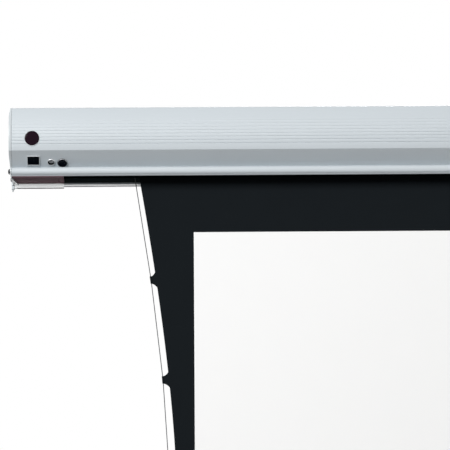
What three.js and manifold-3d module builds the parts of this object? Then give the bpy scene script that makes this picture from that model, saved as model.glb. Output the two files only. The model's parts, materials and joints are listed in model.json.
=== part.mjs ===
// A motorised tab-tensioned projection screen, in millimetres.
// X runs along the case to the right, Y away from the viewer, and Z up.
// The origin is the middle of the flat back of the case, and the screen is let down.

import * as THREE from 'three';
import { mergeVertices } from 'three/addons/utils/BufferGeometryUtils.js';
import Module from 'manifold-3d';

// Driving sizes of the case; its length and depth follow from what is inside it
const caseTop = 70;
const wall = 2.5;
const fit = 0.3; // clearance between pieces that seat on each other
const runningGap = 0.5; // clearance beside pieces that turn
const overrun = 6; // how far a cutter runs past what it cuts

// Bowed front, slanted facet and rounded nose
const frontRadius = 120;
const cornerRadius = 9;
const rearCornerRadius = 3;
const breakDrop = 18.3;
const facetRun = 31.1;
const facetDrop = 32.2;
const slotAhead = 16.14; // from the nose to the face of the fabric
const slotBehind = 23.3; // from the back of the fabric to the bottom cover
const groove = { count: 8, pitch: 6.45, rise: 10.1, width: 1.4, depth: 0.7 };
const nose = { reach: 22.5, radius: 7.7, height: 19.3, lipRadius: 1.6, lipSetback: 5, grooveDepth: 8.5 };
const noseChamber = { front: 6.5, rear: 2.5, floor: 2.8, roof: 2.5 };

// Back of the case: hanging rail, lower flange and ledges that hold the covers
const rail = { inset: 10, height: 30, depth: 10, lip: 2.5, lipWidth: 4 };
const flangeDrop = 7.6;
const ledge = { depth: 4, thickness: 2, rise: 4.1 };
const port = { radius: 2.6, bossRadius: 7.1, lowBossRadius: 5, noseInset: 11 };
const lowPort = { inset: 8, rise: 9.3 };
const rearPortInset = 6.5;

// End caps and their screws
const cap = { thickness: 5.5, edge: 1.7, footDrop: 2.7, heelDepth: 14, heelDrop: 9 };
const capSlant = { start: 25, inset: 3.4, heel: 17 }; // the outer face slants in below, but for the heel
const gusset = { thickness: 3, narrow: 0.5, wide: 12 };
const lug = { inset: 0.5, thickness: 3.2, drop: 3.5 };
const capScrew = { headRadius: 5.6, headHeight: 3.6, shankRadius: 2.3, length: 18 };
const screwSinks = [3.2, 4, 4, 1]; // in the nose, at the top in front, at the top behind, and low behind
const headShares = [[1, 0], [0.94, 0.4], [0.6, 0.88], [0, 1]]; // of the head's radius and height

// Covers under the case
const serviceLength = 108.8;
const serviceThickness = 3;
const lip = { front: 12, thickness: 1.5, drop: 10.7 };
const bottomCover = { thickness: 1.5, hem: 14 };

// Infrared window and receiver
const irWindow = { fromEnd: 46.7, height: 6, radius: 14.5, seat: 1.2, rim: 1.9, dome: 0.6, boreRadius: 10 };
const lensShares = [[1, 0], [0.8, 0.6], [0, 1]]; // of the window's radius and of its dome
const receiver = { width: 24, height: 20, depth: 12 };

// Badge, socket and button on the facet
const badge = { fromEnd: 48.7, down: 26.3, width: 26, height: 24, thickness: 1.6, border: 1.6, floor: 0.5 };
const badgePlateThickness = 0.6;
const jack = { fromEnd: 84, down: 28.5, radius: 6.8, rim: 1.4, barrelRadius: 5.6, depth: 13, bore: 4.2 };
const rimShares = [[1, 0], [1, 0.5], [0.5, 1], [0, 0.6]]; // from the bore out to the rim, and of its height
const jackNut = { radius: 9, thickness: 3 };
const bushing = { fromEnd: 106.4, down: 31.5, radius: 10.4, rim: 1.5, depth: 10, floor: 1.8 };
const barrel = { radius: 9.3, wall: 1.3 }; // of the bushing, behind its rim
const button = { proud: 3, travel: 2, edge: 1.2 };
const crownShares = [[1, 0], [0.87, 0.7], [0.5, 1], [0, 1]]; // of the button's radius and of its rounded edge

// Roller, its winding and its motor
const roller = { height: 5, radius: 34, wall: 2, overhang: 46.6, clearance: 12.5 };
const winding = { turns: 2.1, pitch: 0.8, thickness: 0.5 };
const bracket = { thickness: 3, depth: 92, drop: 44, flange: 22, corner: 10 };
const motorHead = { length: 55.9, radius: 28, pinRadius: 6, pinLength: 10, edge: 3 };
const motorTube = { radius: 22, length: 504, socketDepth: 14 };
const plugFlange = { radius: 35.5, thickness: 3, length: 40 };
const driveWheel = { width: 20, stubLength: 12 };
const bearing = { radius: 13, width: 12, clearance: 0.1 };
const cupWall = 3.2;
const limitScrew = { radius: 2.4, length: 8, headRadius: 3.8, headHeight: 2, inset: 12, pitch: 14 };
const controlBox = { length: 106, depth: 58, height: 72, corner: 4, endRoom: 24.2 };
const gland = { fromEnd: 59, inset: 30, radius: 10, height: 9, collar: 4, bore: 3.6 };
const glandShank = { radius: 7.5, depth: 8 };

// Screen surface
const view = { width: 1860, height: 1046, drop: 109.2, lowerBorder: 54, thickness: 0.2 };
const fabric = { thickness: 0.6, margin: 37.4, sweep: 71.2, rowHeight: 50 };
const tab = { count: 5, pitch: 200, tip: 14.8, above: 8, below: 8, curveShare: 0.45 };
const cord = { radius: 0.9, margin: 50.2, sweep: 66, sleeve: 0.5, clearance: 0.6, stepsPerStretch: 6 };
const sweepPower = 1.5; // how steeply the edge and the cord sweep out from the waist

// Weight bar and cord tensioners
const bar = { overhang: 30.9, depth: 14, height: 45, wall: 1.6, corner: 4, slot: 2.6, chamber: 12, cap: 4 };
const hemRod = { radius: 2.2, gap: 17.1 };
const slider = { length: 24 };
const knob = { radius: 5.5, length: 8.5, shaftRadius: 2, ribs: 14, ribDepth: 0.5 };

// Hanging brackets
const hanger = { fromEnd: 397.8, length: 60, holeRadius: 3.2, holePitch: 36 };

// Heights, from the top down
const railTop = caseTop - rail.inset;
const railSill = railTop - rail.height;
const facetEnd = -breakDrop - facetDrop;
const caseBottom = facetEnd - nose.height;
const flangeBottom = caseBottom - flangeDrop;
const ledgeBottom = caseBottom + ledge.rise;
const coverTop = ledgeBottom - fit;
const serviceBottom = coverTop - serviceThickness;
const viewTop = caseBottom - view.drop;
const viewBottom = viewTop - view.height;
const barTop = viewBottom - view.lowerBorder;
const chamberTop = barTop - bar.wall;
const chamberBottom = chamberTop - bar.chamber;
const knobHeight = (chamberTop + chamberBottom) / 2;
const waist = (caseBottom + barTop) / 2;
const sweepReach = caseBottom - waist;

// Depths, from the wall towards the viewer
const windingInner = roller.radius + fit;
const windingRadius = windingInner + winding.turns * winding.pitch + winding.thickness;
const rollerY = -(rail.depth + wall + roller.clearance + windingRadius);
const fabricBack = rollerY - windingRadius - fit;
const fabricFront = fabricBack - fabric.thickness;
const fabricMiddle = fabricBack - fabric.thickness / 2;
const noseRear = fabricFront - slotAhead;
const facetFoot = new THREE.Vector2(noseRear - wall, facetEnd);
const facetBreak = new THREE.Vector2(facetFoot.x - facetRun, -breakDrop);
const noseFront = facetFoot.x - nose.reach;
const breakAngle = Math.asin(breakDrop / frontRadius);
const frontCentre = facetBreak.x + frontRadius * Math.cos(breakAngle);
const caseDepth = frontRadius - frontCentre;

// Widths, from the middle out: the screen, the roller, its brackets and the case round them
const halfView = view.width / 2;
const rollerEnd = edgeAt(roller.height, fabric.margin, fabric.sweep) + roller.overhang;
const rollerBore = roller.radius - roller.wall;
const plugRadius = rollerBore - fit;
const headInner = rollerEnd + fit + plugFlange.thickness + runningGap;
const bracketInner = headInner + motorHead.length + fit;
const bracketFace = bracketInner + bracket.thickness;
const boxStart = bracketFace + fit;
const halfCase = boxStart + controlBox.length + controlBox.endRoom + cap.thickness;
const shellEnd = halfCase - cap.thickness - fit;
const serviceEnd = halfCase - serviceLength;
const lipStart = halfCase - cap.thickness - fit;
const sliderMiddle = edgeAt(chamberTop, cord.margin, cord.sweep);
const sliderInner = sliderMiddle - slider.length / 2;
const halfBar = sliderMiddle + bar.overhang;
const barBodyEnd = halfBar - bar.cap;
const hangerPlace = halfCase - hanger.fromEnd;

// Finishes
function finish(color, roughness, metalness) {
  return new THREE.MeshStandardMaterial({ color, roughness, metalness });
}

const finishes = {
  aluminium: finish(0xd6dee0, 0.42, 0.6),
  capPlastic: finish(0xcfd5d6, 0.5, 0),
  darkGloss: finish(0x493d42, 0.2, 0),
  lightTrim: finish(0xcdd1d1, 0.45, 0.2),
  blackSheet: finish(0x080d0f, 0.6, 0.1),
  blackPlastic: finish(0x0d0f12, 0.35, 0),
  infrared: finish(0x20121b, 0.12, 0),
  badgeTrim: finish(0xd8dcdd, 0.3, 0.6),
  badgeField: finish(0x03070d, 0.25, 0),
  chrome: finish(0xb9bdbf, 0.15, 1),
  steel: finish(0x8b9093, 0.4, 0.9),
  darkScrew: finish(0x26282a, 0.4, 0.8),
  motor: finish(0x6f7376, 0.5, 0.7),
  blackFabric: finish(0x1c2023, 0.85, 0),
  whiteFabric: finish(0xf7f7f5, 0.9, 0),
  cordGrey: finish(0x8e9092, 0.7, 0),
};

// The screen is one scene graph; the frames below hold what sits on a slant
const screen = new THREE.Group();
const facetFrame = new THREE.Group();
const windowFrame = new THREE.Group();
screen.add(facetFrame, windowFrame);

// Facet frame: X along the case, Y straight out of the facet, Z down along it
facetFrame.position.set(0, facetBreak.x, facetBreak.y);
facetFrame.rotation.x = Math.atan2(-facetRun, -facetDrop);

// Window frame: Y straight out of the bowed front at the window
const windowAngle = Math.asin(irWindow.height / frontRadius);
windowFrame.position.set(
  irWindow.fromEnd - halfCase,
  frontCentre - frontRadius * Math.cos(windowAngle),
  irWindow.height,
);
windowFrame.rotation.x = Math.PI - windowAngle;
screen.updateMatrixWorld(true);

// Solids: every geometry is closed, with shared vertices and faces pointing out
const wasm = await Module();
wasm.setup();

function signedVolume(geometry) {
  const position = geometry.getAttribute('position');
  const index = geometry.getIndex();
  const corners = [new THREE.Vector3(), new THREE.Vector3(), new THREE.Vector3()];
  let total = 0;
  for (let i = 0; i < index.count; i += 3) {
    corners.forEach((corner, k) => corner.fromBufferAttribute(position, index.getX(i + k)));
    total += corners[0].dot(corners[1].clone().cross(corners[2]));
  }
  return total;
}

function closed(geometry) {
  geometry.deleteAttribute('normal');
  geometry.deleteAttribute('uv');
  const merged = mergeVertices(geometry);
  if (signedVolume(merged) < 0) {
    const order = merged.getIndex().array;
    for (let i = 0; i < order.length; i += 3) {
      [order[i], order[i + 1]] = [order[i + 1], order[i]];
    }
  }
  return merged;
}

function toSolid(geometry, frame) {
  const shape = closed(geometry.clone());
  if (frame) {
    shape.applyMatrix4(frame.matrixWorld);
  }
  const vertProperties = new Float32Array(shape.getAttribute('position').array);
  const triVerts = new Uint32Array(shape.getIndex().array);
  return new wasm.Manifold(new wasm.Mesh({ numProp: 3, vertProperties, triVerts }));
}

function toGeometry(solid) {
  const mesh = solid.getMesh();
  const geometry = new THREE.BufferGeometry();
  geometry.setAttribute('position', new THREE.BufferAttribute(new Float32Array(mesh.vertProperties), 3));
  geometry.setIndex(new THREE.BufferAttribute(new Uint32Array(mesh.triVerts), 1));
  return geometry;
}

function carve(body, added, removed) {
  const joined = added.reduce((sum, piece) => sum.add(toSolid(piece)), toSolid(body));
  return toGeometry(removed.reduce((rest, piece) => rest.subtract(toSolid(piece)), joined));
}

// Adds one named piece to a frame
function place(name, geometry, material, parent = screen) {
  const shape = closed(geometry);
  shape.computeVertexNormals();
  const mesh = new THREE.Mesh(shape, material);
  mesh.name = name;
  parent.add(mesh);
  return mesh;
}

function sideName(name, side) {
  return side < 0 ? `${name}_left` : `${name}_right`;
}

// Outline of an arc between two angles, as points
function arc(centreX, centreY, radius, from, to, steps) {
  const points = [];
  for (let i = 0; i <= steps; i += 1) {
    const angle = from + ((to - from) * i) / steps;
    points.push(new THREE.Vector2(centreX + radius * Math.cos(angle), centreY + radius * Math.sin(angle)));
  }
  return points;
}

function point(x, y) {
  return new THREE.Vector2(x, y);
}

function degrees(value) {
  return THREE.MathUtils.degToRad(value);
}

// Closed outline of a rectangle with rounded corners
function roundedRectangle(low, high, radius, steps = 3) {
  const turns = [
    [high.x - radius, low.y + radius, -90],
    [high.x - radius, high.y - radius, 0],
    [low.x + radius, high.y - radius, 90],
    [low.x + radius, low.y + radius, 180],
  ];
  return turns.flatMap(([x, y, start]) => arc(x, y, radius, degrees(start), degrees(start + 90), steps));
}

// Extrudes an outline of (Y, Z) points along X
function alongX(outline, from, to, bevel = {}) {
  const shape = new THREE.Shape(outline);
  const depth = Math.abs(to - from);
  const geometry = new THREE.ExtrudeGeometry(shape, { depth, bevelEnabled: false, ...bevel });
  const axes = new THREE.Matrix4().makeBasis(
    new THREE.Vector3(0, 1, 0),
    new THREE.Vector3(0, 0, 1),
    new THREE.Vector3(1, 0, 0),
  );
  geometry.applyMatrix4(axes);
  geometry.translate(Math.min(from, to), 0, 0);
  return geometry;
}

// Extrudes an outline of (X, Z) points from a back plane towards the viewer
function towardsViewer(outline, back, depth) {
  const geometry = new THREE.ExtrudeGeometry(new THREE.Shape(outline), { depth, bevelEnabled: false });
  geometry.rotateX(Math.PI / 2);
  geometry.translate(0, back, 0);
  return geometry;
}

// Box between two corners
function block(x, y, z) {
  const geometry = new THREE.BoxGeometry(Math.abs(x[1] - x[0]), Math.abs(y[1] - y[0]), Math.abs(z[1] - z[0]));
  geometry.translate((x[0] + x[1]) / 2, (y[0] + y[1]) / 2, (z[0] + z[1]) / 2);
  return geometry;
}

// Turned piece about Y from (radius, height) pairs; a ring's profile closes on itself
function turned(profile, sides) {
  return new THREE.LatheGeometry(profile.map(([radius, height]) => point(radius, height)), sides);
}

function rod(radius, from, to, sides) {
  return turned([[0, from], [radius, from], [radius, to], [0, to]], sides);
}

function ring(inner, outer, from, to, sides) {
  return turned([[inner, from], [outer, from], [outer, to], [inner, to], [inner, from]], sides);
}

// Turns a piece from the Y axis to the X axis and moves it to a place
function ontoX(geometry, y, z, side = 1) {
  geometry.rotateZ((-side * Math.PI) / 2);
  geometry.translate(0, y, z);
  return geometry;
}

// Outline of the front of the case, from the top at the back down to the bottom of the nose
function frontEdge(detailed) {
  const filletCentreZ = caseTop - cornerRadius;
  const filletReach = Math.sqrt((frontRadius - cornerRadius) ** 2 - filletCentreZ ** 2);
  const filletCentreY = frontCentre - filletReach;
  const filletAngle = Math.atan2(filletCentreZ, filletReach);
  const onBow = (angle, inset) => point(
    frontCentre - (frontRadius - inset) * Math.cos(angle),
    (frontRadius - inset) * Math.sin(angle),
  );
  const edge = [
    ...arc(-rearCornerRadius, caseTop - rearCornerRadius, rearCornerRadius, 0, Math.PI / 2, 2),
    ...arc(filletCentreY, filletCentreZ, cornerRadius, Math.PI / 2, Math.PI - filletAngle, 5),
  ];
  const firstGroove = (groove.rise - breakDrop) / frontRadius;
  const grooveStep = groove.pitch / frontRadius;
  const grooveHalf = groove.width / frontRadius / 2;
  const topGroove = firstGroove + grooveStep * (groove.count - 1);
  const plainSteps = 4;
  for (let i = 1; i < plainSteps; i += 1) {
    edge.push(onBow(filletAngle + ((topGroove - filletAngle) * i) / plainSteps, 0));
  }
  for (let i = groove.count - 1; i >= 0; i -= 1) {
    const angle = firstGroove + grooveStep * i;
    if (detailed) {
      edge.push(onBow(angle + grooveHalf, 0), onBow(angle, groove.depth), onBow(angle - grooveHalf, 0));
    } else if (i % 2 === 1) {
      edge.push(onBow(angle, 0));
    }
  }
  edge.push(facetBreak.clone(), facetFoot.clone());
  const bullCentre = point(noseFront + nose.radius, facetFoot.y - nose.radius);
  const lipCentre = point(noseFront + nose.lipSetback + nose.lipRadius, caseBottom + nose.lipRadius);
  edge.push(...arc(bullCentre.x, bullCentre.y, nose.radius, degrees(90), degrees(250), 8));
  if (detailed) {
    const grooveHeight = (bullCentre.y - nose.radius + lipCentre.y + nose.lipRadius) / 2;
    edge.push(point(noseFront + nose.grooveDepth, grooveHeight));
    edge.push(...arc(lipCentre.x, lipCentre.y, nose.lipRadius, degrees(110), degrees(270), 5));
  } else {
    edge.push(point(lipCentre.x, caseBottom));
  }
  return edge;
}

// Outline of the inside of the case, from the nose up and round to the lower flange
function innerEdge() {
  const facetDirection = facetFoot.clone().sub(facetBreak).normalize();
  const inward = point(-facetDirection.y, facetDirection.x);
  const innerFoot = facetFoot.clone().addScaledVector(inward, wall);
  innerFoot.addScaledVector(facetDirection, (noseRear - innerFoot.x) / facetDirection.x);
  const filletCentreZ = caseTop - cornerRadius;
  const filletReach = Math.sqrt((frontRadius - cornerRadius) ** 2 - filletCentreZ ** 2);
  const filletCentreY = frontCentre - filletReach;
  const filletAngle = Math.atan2(filletCentreZ, filletReach);
  const ledgeTop = ledgeBottom + ledge.thickness;
  const innerTop = caseTop - wall;
  return [
    point(noseRear, caseBottom),
    point(noseRear, ledgeBottom),
    point(noseRear + ledge.depth, ledgeBottom),
    point(noseRear + ledge.depth, ledgeTop),
    point(noseRear, ledgeTop),
    innerFoot,
    ...arc(frontCentre, 0, frontRadius - wall, Math.PI + breakAngle, Math.PI - filletAngle, 8),
    ...arc(filletCentreY, filletCentreZ, cornerRadius - wall, Math.PI - filletAngle, Math.PI / 2, 3),
    point(-wall, innerTop),
    point(-wall, railTop + wall),
    point(-rail.depth - wall, railTop + wall),
    point(-rail.depth - wall, railSill - wall),
    point(-wall, railSill - wall),
    point(-wall, ledgeTop),
    point(-wall - ledge.depth, ledgeTop),
    point(-wall - ledge.depth, ledgeBottom),
    point(-wall, ledgeBottom),
    point(-wall, flangeBottom),
  ];
}

// Outline of the back of the case with the open hanging rail, from the flange up
function backEdge() {
  const mouthLow = railSill + rail.lipWidth;
  const mouthHigh = railTop - rail.lipWidth;
  return [
    point(0, flangeBottom),
    point(0, mouthLow),
    point(-rail.lip, mouthLow),
    point(-rail.lip, railSill),
    point(-rail.depth, railSill),
    point(-rail.depth, railTop),
    point(-rail.lip, railTop),
    point(-rail.lip, mouthHigh),
    point(0, mouthHigh),
  ];
}

// Centres of the four screw ports in the end of the case
const topPortHeight = caseTop - cornerRadius;
const portCentres = [
  point(noseFront + port.noseInset, caseBottom + nose.height / 2),
  point(frontCentre - Math.sqrt((frontRadius - cornerRadius) ** 2 - topPortHeight ** 2), topPortHeight),
  point(-rail.depth - wall - rearPortInset, topPortHeight),
  point(-lowPort.inset, caseBottom + lowPort.rise),
];

// Case shell: one extrusion with screw ports, the nose chamber and the holes of the left end
function caseShell() {
  const profile = [...backEdge(), ...frontEdge(true), ...innerEdge()];
  const bossRadii = [port.bossRadius, port.bossRadius, port.lowBossRadius];
  const bosses = portCentres.slice(1).map((centre, i) => (
    ontoX(rod(bossRadii[i], -shellEnd, shellEnd, 16), centre.x, centre.y)
  ));
  const portCuts = portCentres.map((centre) => (
    ontoX(rod(port.radius, -shellEnd - overrun, shellEnd + overrun, 10), centre.x, centre.y)
  ));
  const chamber = block(
    [-shellEnd - overrun, shellEnd + overrun],
    [facetFoot.x - noseChamber.front, noseRear - noseChamber.rear],
    [caseBottom + noseChamber.floor, facetFoot.y - noseChamber.roof],
  );
  const facetCut = (radius, fromEnd, down) => {
    const cutter = rod(radius, -wall - overrun, overrun, 20);
    cutter.translate(fromEnd - halfCase, 0, down);
    cutter.applyMatrix4(facetFrame.matrixWorld);
    return cutter;
  };
  const windowSeat = rod(irWindow.radius + fit, -irWindow.seat, overrun, 28);
  const windowBore = rod(irWindow.boreRadius + fit, -wall - overrun, overrun, 16);
  windowSeat.applyMatrix4(windowFrame.matrixWorld);
  windowBore.applyMatrix4(windowFrame.matrixWorld);
  const glandCut = rod(glandShank.radius + fit, caseTop - wall - overrun, caseTop + overrun, 16);
  glandCut.rotateX(Math.PI / 2);
  glandCut.translate(gland.fromEnd - halfCase, -gland.inset, 0);
  const cuts = [
    ...portCuts,
    chamber,
    facetCut(jack.barrelRadius + fit, jack.fromEnd, jack.down),
    facetCut(barrel.radius + fit, bushing.fromEnd, bushing.down),
    windowSeat,
    windowBore,
    glandCut,
  ];
  place('case_shell', carve(alongX(profile, -shellEnd, shellEnd), bosses, cuts), finishes.aluminium);
}

// What the slant below takes off the outer face of an end cap
function slantCut(side) {
  const slope = capSlant.inset / (-capSlant.start - caseBottom);
  const low = caseBottom - cap.footDrop - cap.heelDrop - overrun;
  const outline = [
    point(side * (halfCase + overrun), -capSlant.start + overrun / slope),
    point(side * (halfCase + (capSlant.start + low) * slope), low),
    point(side * (halfCase + overrun), low),
  ];
  return towardsViewer(outline, -capSlant.heel, caseDepth + overrun);
}

// End cap: a plate with rounded edges, a foot below the covers, a gusset, a lug and sunk screw seats
function endCap(side) {
  const outline = [
    point(0, caseBottom - cap.footDrop - cap.heelDrop),
    ...frontEdge(false),
    point(noseRear, caseBottom),
    point(noseRear, caseBottom - cap.footDrop),
    point(-cap.heelDepth, caseBottom - cap.footDrop),
    point(-cap.heelDepth, caseBottom - cap.footDrop - cap.heelDrop),
  ];
  const innerFace = side * (halfCase - cap.thickness);
  const outerFace = side * halfCase;
  const plate = alongX(outline, innerFace, outerFace, {
    bevelEnabled: true,
    bevelThickness: cap.edge,
    bevelSize: cap.edge,
    bevelOffset: -cap.edge,
    bevelSegments: 2,
  });
  plate.translate(-side * cap.edge, 0, 0);
  const gussetTop = serviceBottom - fit;
  const gussetRear = -lip.front - fit;
  const gussetPlan = new THREE.Shape([
    point(side * (halfCase - cap.edge), noseRear),
    point(side * (halfCase - gusset.narrow - cap.thickness), noseRear),
    point(side * (halfCase - gusset.wide), gussetRear),
    point(side * (halfCase - cap.edge), gussetRear),
  ]);
  const web = new THREE.ExtrudeGeometry(gussetPlan, { depth: gusset.thickness, bevelEnabled: false });
  web.translate(0, 0, gussetTop - gusset.thickness);
  const ear = block(
    [side * (halfCase - lug.inset), side * (halfCase - lug.inset - lug.thickness)],
    [-lip.front, -wall - fit],
    [caseBottom - cap.footDrop - cap.heelDrop - lug.drop, gussetTop],
  );
  const inside = block(
    [innerFace, innerFace - side * overrun],
    [-caseDepth - overrun, overrun],
    [caseBottom - cap.footDrop - cap.heelDrop - overrun, caseTop + overrun],
  );
  const holes = portCentres.map((centre) => ontoX(
    rod(port.radius, halfCase - cap.thickness - overrun, halfCase + overrun, 10),
    centre.x,
    centre.y,
    side,
  ));
  const sinks = portCentres.map((centre, i) => ontoX(
    rod(capScrew.headRadius + runningGap, halfCase - screwSinks[i], halfCase + overrun, 16),
    centre.x,
    centre.y,
    side,
  ));
  const trimmed = carve(plate, [], [inside]);
  const cuts = [slantCut(side), ...holes, ...sinks];
  place(sideName('end_cap', side), carve(trimmed, [web, ear], cuts), finishes.capPlastic);
}

// Cap screws with domed heads, each in its sunk seat
function capScrews(side) {
  portCentres.forEach((centre, i) => {
    const seat = halfCase - screwSinks[i] + fit;
    const profile = [
      [0, seat - capScrew.length],
      [capScrew.shankRadius, seat - capScrew.length],
      [capScrew.shankRadius, seat],
      ...headShares.map(([out, up]) => [capScrew.headRadius * out, seat + capScrew.headHeight * up]),
    ];
    const screw = ontoX(turned(profile, 10), centre.x, centre.y, side);
    place(`${sideName('cap_screw', side)}_${i + 1}`, screw, finishes.darkScrew);
  });
}

// Covers under the case, and the light lips behind them
function serviceCovers(side) {
  const cover = block(
    [side * shellEnd, side * serviceEnd],
    [noseRear + fit, -wall - fit],
    [serviceBottom, coverTop],
  );
  place(sideName('service_cover', side), cover, finishes.darkGloss);
  const top = serviceBottom - fit;
  const angle = [
    point(-wall - fit, top),
    point(-lip.front, top),
    point(-lip.front, top - lip.drop),
    point(-lip.front + lip.thickness, top - lip.drop),
    point(-lip.front + lip.thickness, top - lip.thickness),
    point(-wall - fit, top - lip.thickness),
  ];
  place(sideName('cover_lip', side), alongX(angle, side * lipStart, side * serviceEnd), finishes.lightTrim);
}

function bottomCoverPlate() {
  const front = fabricBack + slotBehind;
  const bottom = coverTop - bottomCover.thickness;
  const outline = [
    point(-wall - fit, coverTop),
    point(front + bottomCover.thickness, coverTop),
    point(front + bottomCover.thickness, bottom + bottomCover.hem),
    point(front, bottom + bottomCover.hem),
    point(front, bottom),
    point(-wall - fit, bottom),
  ];
  place('bottom_cover', alongX(outline, fit - serviceEnd, serviceEnd - fit), finishes.blackSheet);
}

// Infrared window in its seat, and the receiver behind it
function infrared() {
  const rim = irWindow.rim - irWindow.seat;
  const lens = turned([
    [0, fit - irWindow.seat],
    [irWindow.radius, fit - irWindow.seat],
    ...lensShares.map(([out, up]) => [irWindow.radius * out, rim + irWindow.dome * up]),
  ], 28);
  place('ir_window', lens, finishes.infrared, windowFrame);
  const top = irWindow.height + receiver.height / 2;
  const innerRadius = frontRadius - wall;
  const front = frontCentre - Math.sqrt(innerRadius ** 2 - top ** 2) + fit;
  const centre = irWindow.fromEnd - halfCase;
  const body = block(
    [centre - receiver.width / 2, centre + receiver.width / 2],
    [front, front + receiver.depth],
    [irWindow.height - receiver.height / 2, top],
  );
  place('ir_receiver', body, finishes.blackPlastic);
}

// Bare badge: a bright frame round a black field
function badgePieces() {
  const left = -badge.width / 2;
  const low = -badge.height / 2;
  const innerLeft = left + badge.border;
  const innerLow = low + badge.border;
  const plateBase = fit + badge.floor + fit;
  const frame = block([left, -left], [fit, badge.thickness + fit], [low, -low]);
  const pocketDepth = [fit + badge.floor, badge.thickness + overrun];
  const pocket = block([innerLeft, -innerLeft], pocketDepth, [innerLow, -innerLow]);
  const field = block(
    [innerLeft + fit, -innerLeft - fit],
    [plateBase, plateBase + badgePlateThickness],
    [innerLow + fit, -innerLow - fit],
  );
  const pieces = [
    place('badge_frame', carve(frame, [], [pocket]), finishes.badgeTrim, facetFrame),
    place('badge_plate', field, finishes.badgeField, facetFrame),
  ];
  pieces.forEach((piece) => piece.position.set(badge.fromEnd - halfCase, 0, badge.down));
}

// Chrome socket with its nut behind the facet
function jackPieces() {
  const barrel = turned([
    [0, -jack.depth],
    [jack.barrelRadius, -jack.depth],
    [jack.barrelRadius, fit],
    [jack.radius, fit],
    ...rimShares.map(([out, up]) => [jack.bore + (jack.radius - jack.bore) * out, fit + jack.rim * up]),
    [jack.bore, wall - jack.depth],
    [0, wall - jack.depth],
  ], 20);
  const nutTop = -wall - fit;
  const hexagon = rod(jackNut.radius, nutTop - jackNut.thickness, nutTop, 6);
  const bore = rod(jack.barrelRadius + fit, nutTop - jackNut.thickness - overrun, nutTop + overrun, 20);
  const pieces = [
    place('jack_socket', barrel, finishes.chrome, facetFrame),
    place('jack_nut', carve(hexagon, [], [bore]), finishes.steel, facetFrame),
  ];
  pieces.forEach((piece) => piece.position.set(jack.fromEnd - halfCase, 0, jack.down));
}

// Push button in its bushing
function buttonPieces() {
  const bore = barrel.radius - barrel.wall;
  const buttonRadius = bore - fit;
  const face = fit + bushing.rim;
  const floor = bushing.floor - bushing.depth;
  const housing = turned([
    [0, -bushing.depth],
    [barrel.radius, -bushing.depth],
    [barrel.radius, fit],
    [bushing.radius, fit],
    [bushing.radius, fit + bushing.rim / 2],
    [bushing.radius - bushing.rim / 2, face],
    [bore, face],
    [bore, floor],
    [0, floor],
  ], 24);
  const plunger = turned([
    [0, floor + fit + button.travel],
    [buttonRadius, floor + fit + button.travel],
    ...crownShares.map(([out, up]) => [buttonRadius * out, face + button.proud - button.edge * (1 - up)]),
  ], 24);
  const pieces = [
    place('button_bushing', housing, finishes.blackPlastic, facetFrame),
    place('push_button', plunger, finishes.blackPlastic, facetFrame),
  ];
  pieces.forEach((piece) => piece.position.set(bushing.fromEnd - halfCase, 0, bushing.down));
}

// Bracket plate that carries one end of the roller, with a flange under the top of the case
function bracketPlate(side) {
  const rear = -rail.depth - wall - fit;
  const top = caseTop - wall - fit;
  const outline = roundedRectangle(
    point(rear - bracket.depth, -bracket.drop),
    point(rear, top),
    bracket.corner,
  );
  const plate = alongX(outline, side * bracketInner, side * bracketFace);
  const flange = block(
    [side * bracketFace, side * (bracketInner - bracket.flange)],
    [rear - bracket.depth + bracket.corner, portCentres[2].x - port.bossRadius - fit],
    [top - bracket.thickness, top],
  );
  return { plate, flange };
}

// Port bosses pass through the bracket plates with clearance
function bossCuts(side) {
  return [1, 2].map((i) => ontoX(
    rod(port.bossRadius + fit, bracketInner - overrun, bracketFace + overrun, 16),
    portCentres[i].x,
    portCentres[i].y,
    side,
  ));
}

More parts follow.
